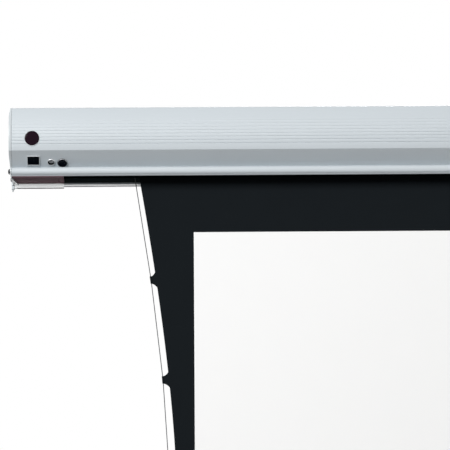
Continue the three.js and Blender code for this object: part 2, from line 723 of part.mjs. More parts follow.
// Motor end: bracket, head with limit screws, and the tube motor
function motorEnd() {
  const side = -1;
  const { plate, flange } = bracketPlate(side);
  const pinHole = ontoX(
    rod(motorHead.pinRadius + fit, bracketInner - overrun, bracketFace + overrun, 16),
    rollerY,
    roller.height,
    side,
  );
  place('motor_bracket', carve(plate, [flange], [pinHole, ...bossCuts(side)]), finishes.steel);
  const headOuter = bracketInner - fit;
  const headProfile = [
    [0, headInner],
    [motorHead.radius - motorHead.edge, headInner],
    [motorHead.radius, headInner + motorHead.edge],
    [motorHead.radius, headOuter],
    [motorHead.pinRadius, headOuter],
    [motorHead.pinRadius, headOuter + motorHead.pinLength],
    [0, headOuter + motorHead.pinLength],
  ];
  const head = ontoX(turned(headProfile, 24), rollerY, roller.height, side);
  const headBottom = roller.height - motorHead.radius;
  const screwPlaces = [0, 1].map((i) => side * (headOuter - limitScrew.inset - limitScrew.pitch * i));
  const holes = screwPlaces.map((x) => {
    const hole = rod(limitScrew.radius + fit, headBottom - overrun, headBottom + limitScrew.length + fit, 12);
    return hole.rotateX(Math.PI / 2).translate(x, rollerY, 0);
  });
  place('motor_head', carve(head, [], holes), finishes.blackPlastic);
  const screwNames = ['limit_screw_up', 'limit_screw_down'];
  screwPlaces.forEach((x, i) => {
    const seat = headBottom - fit;
    const screw = turned([
      [0, seat - limitScrew.headHeight],
      [limitScrew.headRadius, seat - limitScrew.headHeight],
      [limitScrew.headRadius, seat],
      [limitScrew.radius, seat],
      [limitScrew.radius, seat + limitScrew.length],
      [0, seat + limitScrew.length],
    ], 12);
    place(screwNames[i], screw.rotateX(Math.PI / 2).translate(x, rollerY, 0), finishes.steel);
  });
  const tubeStart = headInner - fit;
  const tubeEnd = tubeStart - motorTube.length;
  const stubRadius = motorHead.pinRadius;
  const tubeProfile = [
    [0, tubeStart],
    [motorTube.radius, tubeStart],
    [motorTube.radius, tubeEnd],
    [stubRadius + fit, tubeEnd],
    [stubRadius + fit, tubeEnd + motorTube.socketDepth],
    [0, tubeEnd + motorTube.socketDepth],
  ];
  place('motor_tube', ontoX(turned(tubeProfile, 24), rollerY, roller.height, side), finishes.motor);
  const wheelFace = tubeEnd - runningGap;
  const wheelProfile = [
    [0, wheelFace + driveWheel.stubLength],
    [stubRadius, wheelFace + driveWheel.stubLength],
    [stubRadius, wheelFace],
    [plugRadius, wheelFace],
    [plugRadius, wheelFace - driveWheel.width],
    [0, wheelFace - driveWheel.width],
  ];
  place('drive_wheel', ontoX(turned(wheelProfile, 24), rollerY, roller.height, side), finishes.blackPlastic);
  const crownBore = motorTube.radius + runningGap;
  const crownProfile = [
    [crownBore, rollerEnd + fit + plugFlange.thickness],
    [plugFlange.radius, rollerEnd + fit + plugFlange.thickness],
    [plugFlange.radius, rollerEnd + fit],
    [plugRadius, rollerEnd + fit],
    [plugRadius, rollerEnd - plugFlange.length],
    [crownBore, rollerEnd - plugFlange.length],
    [crownBore, rollerEnd + fit + plugFlange.thickness],
  ];
  place('crown_ring', ontoX(turned(crownProfile, 24), rollerY, roller.height, side), finishes.blackPlastic);
}

// Idler end: bracket with a bearing cup, bearing, and the plug in the roller
function idlerEnd() {
  const side = 1;
  const { plate, flange } = bracketPlate(side);
  const bearingOuter = bracketInner - fit;
  const bearingInner = bearingOuter - bearing.width;
  const cup = ontoX(
    ring(bearing.radius + fit, bearing.radius + fit + cupWall, bearingInner, bracketInner + fit, 24),
    rollerY,
    roller.height,
    side,
  );
  place('idler_bracket', carve(plate, [flange, cup], bossCuts(side)), finishes.steel);
  const pinRadius = motorHead.pinRadius;
  const race = ring(pinRadius + bearing.clearance, bearing.radius, bearingInner, bearingOuter, 24);
  place('idler_bearing', ontoX(race, rollerY, roller.height, side), finishes.steel);
  const plugProfile = [
    [0, rollerEnd - plugFlange.length],
    [plugRadius, rollerEnd - plugFlange.length],
    [plugRadius, rollerEnd + fit],
    [plugFlange.radius, rollerEnd + fit],
    [plugFlange.radius, rollerEnd + fit + plugFlange.thickness],
    [pinRadius, rollerEnd + fit + plugFlange.thickness],
    [pinRadius, bearingOuter],
    [0, bearingOuter],
  ];
  place('idler_plug', ontoX(turned(plugProfile, 24), rollerY, roller.height, side), finishes.blackPlastic);
}

// Roller tube, and the fabric wound on it as one spiral sheet
function rollerPieces() {
  const tube = ring(rollerBore, roller.radius, -rollerEnd, rollerEnd, 32);
  place('roller_tube', ontoX(tube, rollerY, roller.height), finishes.aluminium);
  const steps = Math.round(winding.turns * 32);
  const spiral = (extra) => Array.from({ length: steps + 1 }, (_, i) => {
    const turn = (i / steps) * winding.turns;
    const angle = Math.PI + (turn - winding.turns) * Math.PI * 2;
    const radius = windingInner + turn * winding.pitch + extra;
    return point(rollerY + radius * Math.cos(angle), roller.height + radius * Math.sin(angle));
  });
  const outline = [...spiral(0), ...spiral(winding.thickness).reverse()];
  const halfWidth = edgeAt(roller.height, fabric.margin, fabric.sweep);
  place('wound_fabric', alongX(outline, -halfWidth, halfWidth), finishes.blackFabric);
}

function controlBoxBody() {
  const middle = rollerY;
  const outline = roundedRectangle(
    point(middle - controlBox.depth / 2, roller.height - controlBox.height / 2),
    point(middle + controlBox.depth / 2, roller.height + controlBox.height / 2),
    controlBox.corner,
    2,
  );
  const body = alongX(outline, -boxStart, -boxStart - controlBox.length);
  const pinRoom = ontoX(
    rod(motorHead.pinRadius + fit, boxStart - overrun, bracketInner + motorHead.pinLength + fit, 16),
    rollerY,
    roller.height,
    -1,
  );
  place('control_box', carve(body, [], [pinRoom]), finishes.blackPlastic);
}

// Gland in the top of the case where the supply goes in
function powerGland() {
  const profile = [
    [gland.bore, caseTop - glandShank.depth],
    [glandShank.radius, caseTop - glandShank.depth],
    [glandShank.radius, caseTop + fit],
    [gland.radius, caseTop + fit],
    [gland.radius, caseTop + fit + gland.collar],
    [glandShank.radius, caseTop + fit + gland.height],
    [gland.bore, caseTop + fit + gland.height],
    [gland.bore, caseTop - glandShank.depth],
  ];
  const body = turned(profile, 16).rotateX(Math.PI / 2).translate(gland.fromEnd - halfCase, -gland.inset, 0);
  place('power_gland', body, finishes.blackPlastic);
}

// Distance of a bowed side edge from the middle of the screen at one height
function edgeAt(height, margin, sweep) {
  return halfView + margin + sweep * Math.abs((height - waist) / sweepReach) ** sweepPower;
}

const tabHeights = Array.from({ length: tab.count }, (_, i) => waist + ((tab.count - 1) / 2 - i) * tab.pitch);

// The cord runs straight from one tab to the next
const cordStops = [roller.height, ...tabHeights, chamberTop].map((height) => (
  point(edgeAt(height, cord.margin, cord.sweep), height)
));

// One side edge of the fabric from top to bottom, with its tabs
function sideEdge() {
  const edge = [];
  const onEdge = (height) => point(edgeAt(height, fabric.margin, fabric.sweep), height);
  let height = roller.height;
  tabHeights.forEach((middle, i) => {
    const top = middle + tab.tip / 2 + tab.above;
    const bottom = middle - tab.tip / 2 - tab.below;
    const rows = Math.max(1, Math.round((height - top) / fabric.rowHeight));
    for (let row = 0; row < rows; row += 1) {
      edge.push(onEdge(height + ((top - height) * row) / rows));
    }
    const tipX = cordStops[i + 1].x;
    const start = onEdge(top);
    const end = onEdge(bottom);
    const tipTop = point(tipX, middle + tab.tip / 2);
    const tipBottom = point(tipX, middle - tab.tip / 2);
    const hollow = (root, tip) => point(
      root.x + (tip.x - root.x) * tab.curveShare,
      tip.y + (root.y - tip.y) * (1 - 2 * tab.curveShare),
    );
    const upper = new THREE.QuadraticBezierCurve(start, hollow(start, tipTop), tipTop);
    const lower = new THREE.QuadraticBezierCurve(tipBottom, hollow(end, tipBottom), end);
    edge.push(...upper.getPoints(3), ...lower.getPoints(3).slice(0, -1));
    height = bottom;
  });
  const lastRows = Math.max(1, Math.round((height - chamberTop) / fabric.rowHeight));
  for (let row = 0; row <= lastRows; row += 1) {
    edge.push(onEdge(height + ((chamberTop - height) * row) / lastRows));
  }
  return edge;
}

// Black screen fabric with tabs whose sleeves hold the cords, and the white surface on it
function screenFabric() {
  const right = sideEdge();
  const left = right.map((corner) => point(-corner.x, corner.y)).reverse();
  const sheet = towardsViewer([...right, ...left], fabricBack, fabric.thickness);
  const sleeves = [];
  const bores = [];
  const boreRadius = cord.radius + cord.clearance;
  for (const side of [-1, 1]) {
    tabHeights.forEach((middle, i) => {
      const slope = (cordStops[i].x - cordStops[i + 2].x) / (cordStops[i].y - cordStops[i + 2].y);
      const seat = (radius, reach) => {
        const sleeve = rod(radius, -tab.tip / 2 - reach, tab.tip / 2 + reach, 8);
        sleeve.rotateX(Math.PI / 2);
        sleeve.rotateY(side * Math.atan(slope));
        return sleeve.translate(side * cordStops[i + 1].x, fabricMiddle, middle);
      };
      sleeves.push(seat(boreRadius + cord.sleeve, 0));
      bores.push(seat(boreRadius, overrun));
    });
  }
  place('screen_fabric', carve(sheet, sleeves, bores), finishes.blackFabric);
  const surface = block(
    [-halfView, halfView],
    [fabricFront - view.thickness, fabricFront],
    [viewBottom, viewTop],
  );
  place('viewing_surface', surface, finishes.whiteFabric);
}

// A cord's path, straight between its stops, with the same number of steps to each stretch
class CordPath extends THREE.Curve {
  constructor(side) {
    super();
    this.side = side;
  }

  getUtoTmapping(share) {
    return share;
  }

  getPoint(share, target = new THREE.Vector3()) {
    const stretches = cordStops.length - 1;
    const first = Math.min(stretches - 1, Math.max(0, Math.floor(share * stretches)));
    const stop = cordStops[first].clone().lerp(cordStops[first + 1], share * stretches - first);
    return target.set(this.side * stop.x, fabricMiddle, stop.y);
  }
}

function tensionCord(side) {
  const sides = 8;
  const section = new THREE.Shape(arc(0, 0, cord.radius, 0, Math.PI * 2 * (1 - 1 / sides), sides - 1));
  const steps = cord.stepsPerStretch * (cordStops.length - 1);
  const extrudePath = new CordPath(side);
  const tube = new THREE.ExtrudeGeometry(section, { steps, extrudePath, bevelEnabled: false });
  place(sideName('cord', side), tube, finishes.cordGrey);
}

// Weight bar with an upper chamber for the hem and a lower one that stays closed at the sides
function weightBar() {
  const front = fabricMiddle - bar.depth / 2;
  const rear = fabricMiddle + bar.depth / 2;
  const bottom = barTop - bar.height;
  const outline = roundedRectangle(point(front, bottom), point(rear, barTop), bar.corner);
  const along = [-barBodyEnd - overrun, barBodyEnd + overrun];
  const across = [front + bar.wall, rear - bar.wall];
  const slotAcross = [fabricMiddle - bar.slot / 2, fabricMiddle + bar.slot / 2];
  const slot = block(along, slotAcross, [chamberTop - bar.wall, barTop + overrun]);
  const upper = block(along, across, [chamberBottom, chamberTop]);
  const lower = block(along, across, [bottom + bar.corner, chamberBottom - bar.wall]);
  const body = alongX(outline, -barBodyEnd, barBodyEnd);
  place('weight_bar', carve(body, [], [slot, upper, lower]), finishes.blackSheet);
  const hemEnd = sliderInner - hemRod.gap;
  const hem = rod(hemRod.radius, -hemEnd, hemEnd, 10);
  place('hem_rod', ontoX(hem, fabricMiddle, chamberTop - fit - hemRod.radius), finishes.steel);
}

// Bar end: cap, knob on its screw, and the slider that the screw draws along the bar
function barEnd(side) {
  const front = fabricMiddle - bar.depth / 2;
  const rear = fabricMiddle + bar.depth / 2;
  const bottom = barTop - bar.height;
  const inner = barBodyEnd + fit;
  const outline = roundedRectangle(point(front, bottom), point(rear, barTop), bar.corner);
  const plate = alongX(outline, side * inner, side * halfBar);
  const spigot = block(
    [side * (inner + bar.cap / 2), side * (inner - bar.chamber)],
    [front + bar.wall + fit, rear - bar.wall - fit],
    [bottom + bar.corner + fit, chamberBottom - bar.wall - fit],
  );
  const shaftHole = ontoX(
    rod(knob.shaftRadius + fit, inner - overrun, halfBar + overrun, 12),
    fabricMiddle,
    knobHeight,
    side,
  );
  place(sideName('bar_end_cap', side), carve(plate, [spigot], [shaftHole]), finishes.blackPlastic);
  const sliderBody = block(
    [side * sliderInner, side * (sliderInner + slider.length)],
    [front + bar.wall + fit, rear - bar.wall - fit],
    [chamberBottom + fit, chamberTop - fit],
  );
  const sliderBore = ontoX(
    rod(knob.shaftRadius + fit, sliderInner - overrun, sliderInner + slider.length + overrun, 12),
    fabricMiddle,
    knobHeight,
    side,
  );
  place(sideName('tension_slider', side), carve(sliderBody, [], [sliderBore]), finishes.steel);
  const ribAngle = Math.PI / knob.ribs;
  const knobOutline = Array.from({ length: knob.ribs * 2 }, (_, i) => {
    const radius = knob.radius - (i % 2) * knob.ribDepth;
    return point(fabricMiddle + radius * Math.cos(i * ribAngle), knobHeight + radius * Math.sin(i * ribAngle));
  });
  const seat = halfBar + runningGap;
  const grip = alongX(knobOutline, side * seat, side * (seat + knob.length));
  const shaftRod = rod(knob.shaftRadius, sliderInner, seat + knob.length / 2, 12);
  const shaft = ontoX(shaftRod, fabricMiddle, knobHeight, side);
  place(sideName('tension_knob', side), carve(grip, [shaft], []), finishes.darkScrew);
}

// Hanging bracket in the rail, flush with the back of the case
function wallBracket(side) {
  const from = side * hangerPlace - hanger.length / 2;
  const inner = block(
    [from, from + hanger.length],
    [fit - rail.depth, -rail.lip - fit],
    [railSill + fit, railTop - fit],
  );
  const neck = block(
    [from, from + hanger.length],
    [-rail.lip - fit * 2, 0],
    [railSill + rail.lipWidth + fit, railTop - rail.lipWidth - fit],
  );
  const holes = [-1, 1].map((end) => {
    const hole = rod(hanger.holeRadius, -rail.depth - overrun, overrun, 16);
    const across = side * hangerPlace + (end * hanger.holePitch) / 2;
    return hole.translate(across, 0, (railSill + railTop) / 2);
  });
  place(sideName('wall_bracket', side), carve(inner, [neck], holes), finishes.steel);
}

caseShell();
bottomCoverPlate();
infrared();
badgePieces();
jackPieces();
buttonPieces();
motorEnd();
idlerEnd();
rollerPieces();
controlBoxBody();
powerGland();
screenFabric();
weightBar();
for (const side of [-1, 1]) {
  endCap(side);
  capScrews(side);
  serviceCovers(side);
  tensionCord(side);
  barEnd(side);
  wallBracket(side);
}

export default screen;
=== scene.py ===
import json
from math import asin, atan, atan2, copysign, cos, degrees, hypot, pi, radians, sin, sqrt, tan
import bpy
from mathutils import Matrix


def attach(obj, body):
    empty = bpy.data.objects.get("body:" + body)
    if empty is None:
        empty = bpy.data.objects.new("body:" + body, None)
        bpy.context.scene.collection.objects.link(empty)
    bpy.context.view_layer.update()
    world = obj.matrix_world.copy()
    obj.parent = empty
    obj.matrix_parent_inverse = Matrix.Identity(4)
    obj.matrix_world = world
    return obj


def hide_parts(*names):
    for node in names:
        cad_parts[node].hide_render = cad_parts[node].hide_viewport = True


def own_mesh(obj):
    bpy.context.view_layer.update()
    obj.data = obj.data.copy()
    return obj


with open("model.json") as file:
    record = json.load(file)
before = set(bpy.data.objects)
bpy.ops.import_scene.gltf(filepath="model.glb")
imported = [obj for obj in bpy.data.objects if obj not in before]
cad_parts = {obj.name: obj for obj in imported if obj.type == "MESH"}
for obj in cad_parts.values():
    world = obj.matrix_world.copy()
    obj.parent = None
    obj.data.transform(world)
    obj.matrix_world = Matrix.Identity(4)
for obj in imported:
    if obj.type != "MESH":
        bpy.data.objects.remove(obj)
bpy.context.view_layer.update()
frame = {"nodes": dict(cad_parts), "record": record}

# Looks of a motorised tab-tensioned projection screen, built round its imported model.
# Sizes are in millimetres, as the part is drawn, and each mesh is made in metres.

from types import SimpleNamespace as Sizes

import bmesh
import bpy
from mathutils import Matrix, Vector

METRES = 0.001
TOUCHING = 0.001

# How far a cutter passes beyond what it cuts
OVERRUN = 6

# Case section
WALL = 2.5
FIT = 0.3
CASE_TOP = 70
FRONT_RADIUS = 120
CORNER_RADIUS = 9
REAR_CORNER_RADIUS = 3
BREAK_DROP = 18.3
FACET_RUN = 31.1
FACET_DROP = 32.2
SLOT_AHEAD = 16.14
SLOT_BEHIND = 23.3
FLANGE_DROP = 5.8
EDGE_SOFTNESS = 0.5
ROUNDING = Sizes(least_turn=25, steps=3, share=0.45)
BOW_STEPS = 6
GROOVE = Sizes(count=8, pitch=6.75, rise=12.6, fade=0.1, width=1.6, depth=0.8)
NOSE = Sizes(
    reach=22.5, radius=7.7, height=19.3, flat=1.2, turn=142, plain_turn=160, plain_lip=6.6,
    lip_reach=5.5, lip_height=1.8, line_width=0.9, line_depth=0.9, gutter_depth=3.5, gutter_rim=0.6,
)
RAIL = Sizes(inset=10, height=30, depth=10, lip=2.5, lip_width=4)
LEDGE = Sizes(depth=4, thickness=2, rise=4.1)
PORT = Sizes(nose_inset=11, nose_share=0.57, rear_inset=6.5, low_inset=8, low_rise=9.3)
BOSS_RADII = (7.1, 7.1, 5)

# Sections of a groove and of the line under the nose, as shares of their width and depth
GROOVE_SECTION = ((1, 0), (0.7, 0.08), (0.25, 0.85), (0, 1), (-0.25, 0.85), (-0.7, 0.08), (-1, 0))
LINE_SECTION = ((0.3, 0.8), (0.5, 1), (0.8, 0.7), (1, 0))

# Case length, end caps and covers
HALF_CASE = 1297.81
CAP = Sizes(thickness=5.5, edge=1.7, foot_drop=2.7, heel_depth=14, heel_drop=9)
CAP_SLANT = Sizes(start=25, inset=3.4, heel=17, top_start=52, top_inset=2.6)
GUSSET = Sizes(thickness=3, narrow=0.5, wide=13.4)
LUG = Sizes(inset=0.5, thickness=3.2, drop=3.5)
CAP_SCREW = Sizes(
    radius=5.6, height=3.6, foot_share=0.97, edge_share=0.08, dome_share=0.85, steps=8, gap=0.5,
    shank=2.3, shank_depth=4, recess_radius=2.9, recess_width=1.3, recess_share=0.35,
    first_turn=20, next_turn=35,
)
SCREW_SINKS = (1.9, 4.6, 4.6, 1)
SERVICE = Sizes(
    length=108.8, thickness=3, edge=0.8, slant=3.4, slant_zone=2,
    latch_from_end=12, latch_length=34, latch_width=2.4, latch_share=0.4,
)
LIP = Sizes(front=12, thickness=1.5, drop=10.7, lean=1.4, flare=1, flare_height=2)
BOTTOM_COVER = Sizes(thickness=1.5, hem=14)
FLANGE_STRIP = Sizes(thickness=0.6, lean=0.6, flare=1.3, flare_height=1.7, drop=0.6)
NOSE_SKIN = Sizes(thickness=0.5, start_share=0.75, corner_share=0.4, seat_share=0.8)

# Pieces on the front
WINDOW = Sizes(
    from_end=46.7, height=6, radius=14.5, seat=1.2, rim=1.9, dome=0.6, steps=12, bore=10,
    bevel=0.6, bevel_share=0.3, ring_width=0.7, ring_proud=0.35,
)
BADGE = Sizes(
    from_end=48.7, down=25.3, width=26, height=24, thickness=1.3, border=1.2, floor=0.05,
    bevel=0.4, field=0.3,
)
JACK = Sizes(
    from_end=84, down=29.8, radius=8, rim=1.4, barrel=5.6, depth=13, seat=7, mouth=6.5, step=1.8,
    cup=5.3, cup_depth=6.4, lining=0.3, lining_top=0.4, lining_lip=0.2, disc=0.8,
    pin=0.9, pin_depth=2.6, pin_tip=0.6, pin_round=0.3,
)
BUSHING = Sizes(
    from_end=106.4, down=31.5, radius=10.4, rim=1.5, barrel=9.3, wall=1.3, depth=10,
    band_inset=1, band_width=0.8,
)
BUTTON = Sizes(proud=3, travel=2, edge=1.2, edge_steps=5, floor=1.8, dish=0.35, dish_rim=0.85)
GLAND = Sizes(
    from_end=59, inset=30, radius=10, height=9, collar=4, bore=3.6, shank=7.5, depth=8, edge=0.5,
    relief=0.4, nut=1.2, nut_foot=0.2, nut_taper=0.3, dome=2.4, dome_edge=0.7,
)

# Ring round the window, as shares of its width and its height
RING_SECTION = ((0, 0.6), (0.3, 1), (0.7, 1), (1, 0.3), (1, 0))

# Rim of the socket: how far in from its outer and beyond its inner radius, and shares of its height
JACK_OUTER = ((0, 0.45), (0.25, 0.8), (0.7, 1))
JACK_INNER = ((0.4, 1), (0.1, 0.85), (0, 0.55))

# Rim of the button's bushing: how far in and beyond, and how far below its face
BUSHING_OUTER = ((0, 1), (0.15, 0.55), (0.5, 0.1), (0.9, 0))
BUSHING_INNER = ((0.35, 0), (0.08, 0.1), (0, 0.35))

# Bright band on the bushing: shares of its width, and how far over its face
BAND_SECTION = ((0, -0.4), (0, 0.05), (0.4, 0.08), (1, -0.35), (1, -0.6), (0, -0.4))
DISH_SHARES = (0.7, 0.5, 0.3, 0)

# Roller and winding
ROLLER = Sizes(height=5, radius=34, clearance=12.5)
WINDING = Sizes(turns=2.1, pitch=0.8, thickness=0.5, steps=96)

# Screen surface
VIEW = Sizes(width=1860, height=1046, drop=109.2, lower_border=54, thickness=0.2, rows=100)
FABRIC = Sizes(thickness=0.6, margin=37.4, sweep=71.2, row=10, columns=48)
TAB = Sizes(
    count=5, pitch=200, tip=14.8, above=8, below=8, curve_share=0.45, steps=10, tip_steps=4,
    flatness=0.8, roller_gap=4,
)
SLEEVE = Sizes(thickness=0.5, clearance=0.6, edge=0.25, edge_length=0.3)
CORD = Sizes(
    radius=0.9, margin=50.2, sweep=66, strands=3, lay=5, lobe=0.16, facets=12,
    spacing=1.25, path_spacing=5,
)
SWEEP_POWER = 1.5

# Weight bar
BAR = Sizes(
    overhang=30.9, depth=14, height=45, wall=1.6, corner=4, slot=2.6, chamber=12, cap=4, cap_edge=1.1,
)
KNOB = Sizes(
    radius=5.5, length=8.5, edge=0.6, shaft=2, shaft_length=40, shaft_seat=2, ribs=14, rib_facets=6,
    rib_depth=0.5, gap=0.5,
)

# Steps along the arcs of the sections
ARC_STEPS = Sizes(
    rear=6, corner=12, nose=12, under_nose=10, plain_nose=18, inner_bow=24, inner_corner=8, bar=8,
)

# Facets round a turned shape
FACETS = Sizes(window=96, button=72, opening=64, plain=48, screw=40, boss=32, small=24)

# Heights and depths worked out from the sizes
RAIL_TOP = CASE_TOP - RAIL.inset
RAIL_SILL = RAIL_TOP - RAIL.height
FACET_END = -BREAK_DROP - FACET_DROP
CASE_BOTTOM = FACET_END - NOSE.height
FLANGE_BOTTOM = CASE_BOTTOM - FLANGE_DROP
LEDGE_BOTTOM = CASE_BOTTOM + LEDGE.rise
COVER_TOP = LEDGE_BOTTOM - FIT
SERVICE_BOTTOM = COVER_TOP - SERVICE.thickness
COVER_REAR = -WALL - FIT
VIEW_TOP = CASE_BOTTOM - VIEW.drop
VIEW_BOTTOM = VIEW_TOP - VIEW.height
BAR_TOP = VIEW_BOTTOM - VIEW.lower_border
BAR_BOTTOM = BAR_TOP - BAR.height
CHAMBER_TOP = BAR_TOP - BAR.wall
CHAMBER_BOTTOM = CHAMBER_TOP - BAR.chamber
KNOB_HEIGHT = (CHAMBER_TOP + CHAMBER_BOTTOM) / 2
WAIST = (CASE_BOTTOM + BAR_TOP) / 2
SWEEP_REACH = CASE_BOTTOM - WAIST
WINDING_INNER = ROLLER.radius + FIT
WINDING_OUTER = WINDING_INNER + WINDING.turns * WINDING.pitch + WINDING.thickness
ROLLER_Y = -(RAIL.depth + WALL + ROLLER.clearance + WINDING_OUTER)
FABRIC_BACK = ROLLER_Y - WINDING_OUTER - FIT
FABRIC_FRONT = FABRIC_BACK - FABRIC.thickness
FABRIC_MIDDLE = FABRIC_BACK - FABRIC.thickness / 2
NOSE_REAR = FABRIC_FRONT - SLOT_AHEAD
FOOT_Y = NOSE_REAR - WALL
BREAK_Y = FOOT_Y - FACET_RUN
NOSE_FRONT = FOOT_Y - NOSE.reach
NOSE_HEEL = NOSE_FRONT + NOSE.lip_reach + NOSE.lip_height
BREAK_ANGLE = asin(BREAK_DROP / FRONT_RADIUS)
FRONT_CENTRE = (BREAK_Y + FRONT_RADIUS * cos(BREAK_ANGLE), 0)
FILLET_HEIGHT = CASE_TOP - CORNER_RADIUS
FILLET_REACH = sqrt((FRONT_RADIUS - CORNER_RADIUS) ** 2 - FILLET_HEIGHT ** 2)
FILLET_ANGLE = atan2(FILLET_HEIGHT, FILLET_REACH)
FILLET_CENTRE = (FRONT_CENTRE[0] - FILLET_REACH, FILLET_HEIGHT)
FACET_LENGTH = hypot(FACET_RUN, FACET_DROP)
SHELL_END = HALF_CASE - CAP.thickness - FIT
SERVICE_END = HALF_CASE - SERVICE.length
LIP_START = SERVICE_END + SERVICE.slant
HALF_VIEW = VIEW.width / 2

# Camera: at the photograph's viewing angle, and the picture is square
CAMERA = Sizes(
    distance=9000, yaw=0.03, pitch=6, roll=-0.338, aim=(-867.5, -120, -167.1), scale=0.5013,
    pixels=450, sensor=36, near=100, far=100000,
)

# Light, in metres: each lamp stands at an azimuth from the front and an elevation
LAMPS = {
    "key": {"azimuth": -27, "elevation": 23, "distance": 9, "size": (2.7, 3.4), "share": 1.07},
    "back": {"azimuth": 165, "elevation": 24, "distance": 6, "size": (2.6, 2.2), "share": 0.6},
    "side": {"azimuth": 105, "elevation": 15, "distance": 6, "size": (2, 2), "share": 0.4},
}
LAMP_TARGET = (-0.8, -0.12, -0.1)
SKY = {"below": 0.06, "horizon": 0.18, "above": 0.24}
FLOOR = Sizes(height=-1350, half=9000, cells=8, pale=0.82, bounce=0.08, glow=0.4, roughness=0.9)


# Outline helpers: a point is (y, z) in a section, or (x, z) in a sheet
def even(start, end, count):
    """Evenly spaced values from start to end, with both of them."""
    return [start + (end - start) * i / count for i in range(count + 1)]


def polar(centre, radius, angle):
    return (centre[0] + radius * cos(angle), centre[1] + radius * sin(angle))


def arc(centre, radius, start, end, steps):
    return [polar(centre, radius, angle) for angle in even(start, end, steps)]


def about(middle, half):
    """The two ends of a length, from its middle."""
    return (middle - half, middle + half)


def corners(near, far, first, last):
    """A rectangle's corners, out along its first side and back along its last."""
    return [(near, first), (far, first), (far, last), (near, last)]


def bend(start, corner, end, share):
    """A place on the curve that leaves start and reaches end along the sides of a corner."""
    return start * (1 - share) ** 2 + corner * (2 * share * (1 - share)) + end * share ** 2


def rounded(outline, radius=EDGE_SOFTNESS):
    """Rounds each corner of a closed outline that turns by more than the least turn."""
    points = [
        Vector(point) for i, point in enumerate(outline)
        if (Vector(point) - Vector(outline[i - 1])).length > TOUCHING
    ]
    result = []
    for i, corner in enumerate(points):
        before = points[i - 1] - corner
        after = points[(i + 1) % len(points)] - corner
        turn = pi - before.angle(after)
        if degrees(turn) < ROUNDING.least_turn:
            result.append(tuple(corner))
            continue
        limit = min(before.length, after.length) * ROUNDING.share
        reach = min(radius * tan(turn / 2), limit)
        start = corner + before.normalized() * reach
        end = corner + after.normalized() * reach
        result += [tuple(bend(start, corner, end, share)) for share in even(0, 1, ROUNDING.steps)]
    return result


def cylinder(radius, low, high):
    """The profile of a plain round bar."""
    return corners(0, radius, low, high)


# Mesh helpers: all take millimetres
def add_object(name, data):
    obj = bpy.data.objects.new(name, data)
    bpy.context.scene.collection.objects.link(obj)
    return obj


def bmesh_to_object(name, bm):
    bmesh.ops.recalc_face_normals(bm, faces=bm.faces)
    bmesh.ops.scale(bm, vec=(METRES, METRES, METRES), verts=bm.verts)
    mesh = bpy.data.meshes.new(name)
    bm.to_mesh(mesh)
    bm.free()
    return add_object(name, mesh)


def skin(name, rings, matrix=Matrix()):
    """A closed solid over rings of points, each joined to the next, with flat ends."""
    bm = bmesh.new()
    made = [[bm.verts.new(matrix @ Vector(point)) for point in ring] for ring in rings]
    for near, far in zip(made, made[1:]):
        for i in range(len(near)):
            bm.faces.new((near[i - 1], near[i], far[i], far[i - 1]))
    bm.faces.new(made[0][::-1])
    bm.faces.new(made[-1])
    return bmesh_to_object(name, bm)


def prism(name, outline, start, end):
    """A closed outline of (y, z) points, drawn out along X."""
    return skin(name, [[(x, y, z) for y, z in outline] for x in (start, end)])


def block(name, x, y, z, matrix=Matrix()):
    return skin(name, [[(end, *corner) for corner in corners(*y, *z)] for end in x], matrix)


def add_turned(bm, profile, facets, matrix):
    """A profile of (radius, height) points turned about Y; a radius of zero closes it."""
    rings = []
    for radius, height in profile:
        ring = []
        for x, z in arc((0, 0), radius, 0, 2 * pi, facets)[:facets if radius else 1]:
            ring.append(bm.verts.new(matrix @ Vector((x, height, z))))
        rings.append(ring)
    for low, high in zip(rings, rings[1:]):
        for i in range(facets):
            pair = (i, (i + 1) % facets)
            face = [low[j % len(low)] for j in pair] + [high[j % len(high)] for j in pair[::-1]]
            face = list(dict.fromkeys(face))
            if len(face) > 2:
                bm.faces.new(face)


def turned(name, profile, facets, matrix):
    bm = bmesh.new()
    add_turned(bm, profile, facets, matrix)
    return bmesh_to_object(name, bm)


def settle(obj):
    """Turns an object's modifiers into its mesh."""
    graph = bpy.context.evaluated_depsgraph_get()
    mesh = bpy.data.meshes.new_from_object(obj.evaluated_get(graph))
    obj.modifiers.clear()
    obj.data = mesh
    return obj


def soften(obj, width, segments=3, least_turn=40):
    """Rounds the sharp edges of a piece."""
    bevel = obj.modifiers.new("edge", "BEVEL")
    bevel.width = width * METRES
    bevel.segments = segments
    bevel.limit_method = "ANGLE"
    bevel.angle_limit = radians(least_turn)
    return settle(obj)


def combine(obj, others, operation="DIFFERENCE"):
    """Cuts other pieces out of one, or joins them to it."""
    for other in others:
        boolean = obj.modifiers.new("cut", "BOOLEAN")
        boolean.operation = operation
        boolean.solver = "EXACT"
        boolean.object = other
        settle(obj)
        bpy.data.objects.remove(other)
    return obj


def dress(obj, finish, sharp):
    """Gives an object one finish, and shades it smooth but for its sharp edges."""
    for polygon in obj.data.polygons:
        polygon.use_smooth = True
    obj.data.set_sharp_from_angle(angle=radians(sharp))
    obj.data.materials.clear()
    obj.data.materials.append(FINISHES[finish])


def piece(obj, slot, node=None, body="case", finish=None, sharp=35):
    """Gives a piece its finish, puts it on the body it rides on, and hides the node it stands for."""
    dress(obj, finish or slot, sharp)
    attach(obj, body)
    if node:
        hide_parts(node)
    return obj


def along_x(y, z, side=1):
    """Turns a piece made about Y onto the X axis, at a place in the section."""
    return Matrix.Translation((0, y, z)) @ Matrix.Rotation(-side * pi / 2, 4, "Z")


def surface_frame(x, y, z, outward):
    """A frame on the front of the case: X along it, Y straight out, Z down it."""
    across = Vector((1, 0, 0))
    out = Vector((0, *outward))
    rotation = Matrix((across, out, across.cross(out))).transposed().to_4x4()
    return Matrix.Translation((x, y, z)) @ rotation


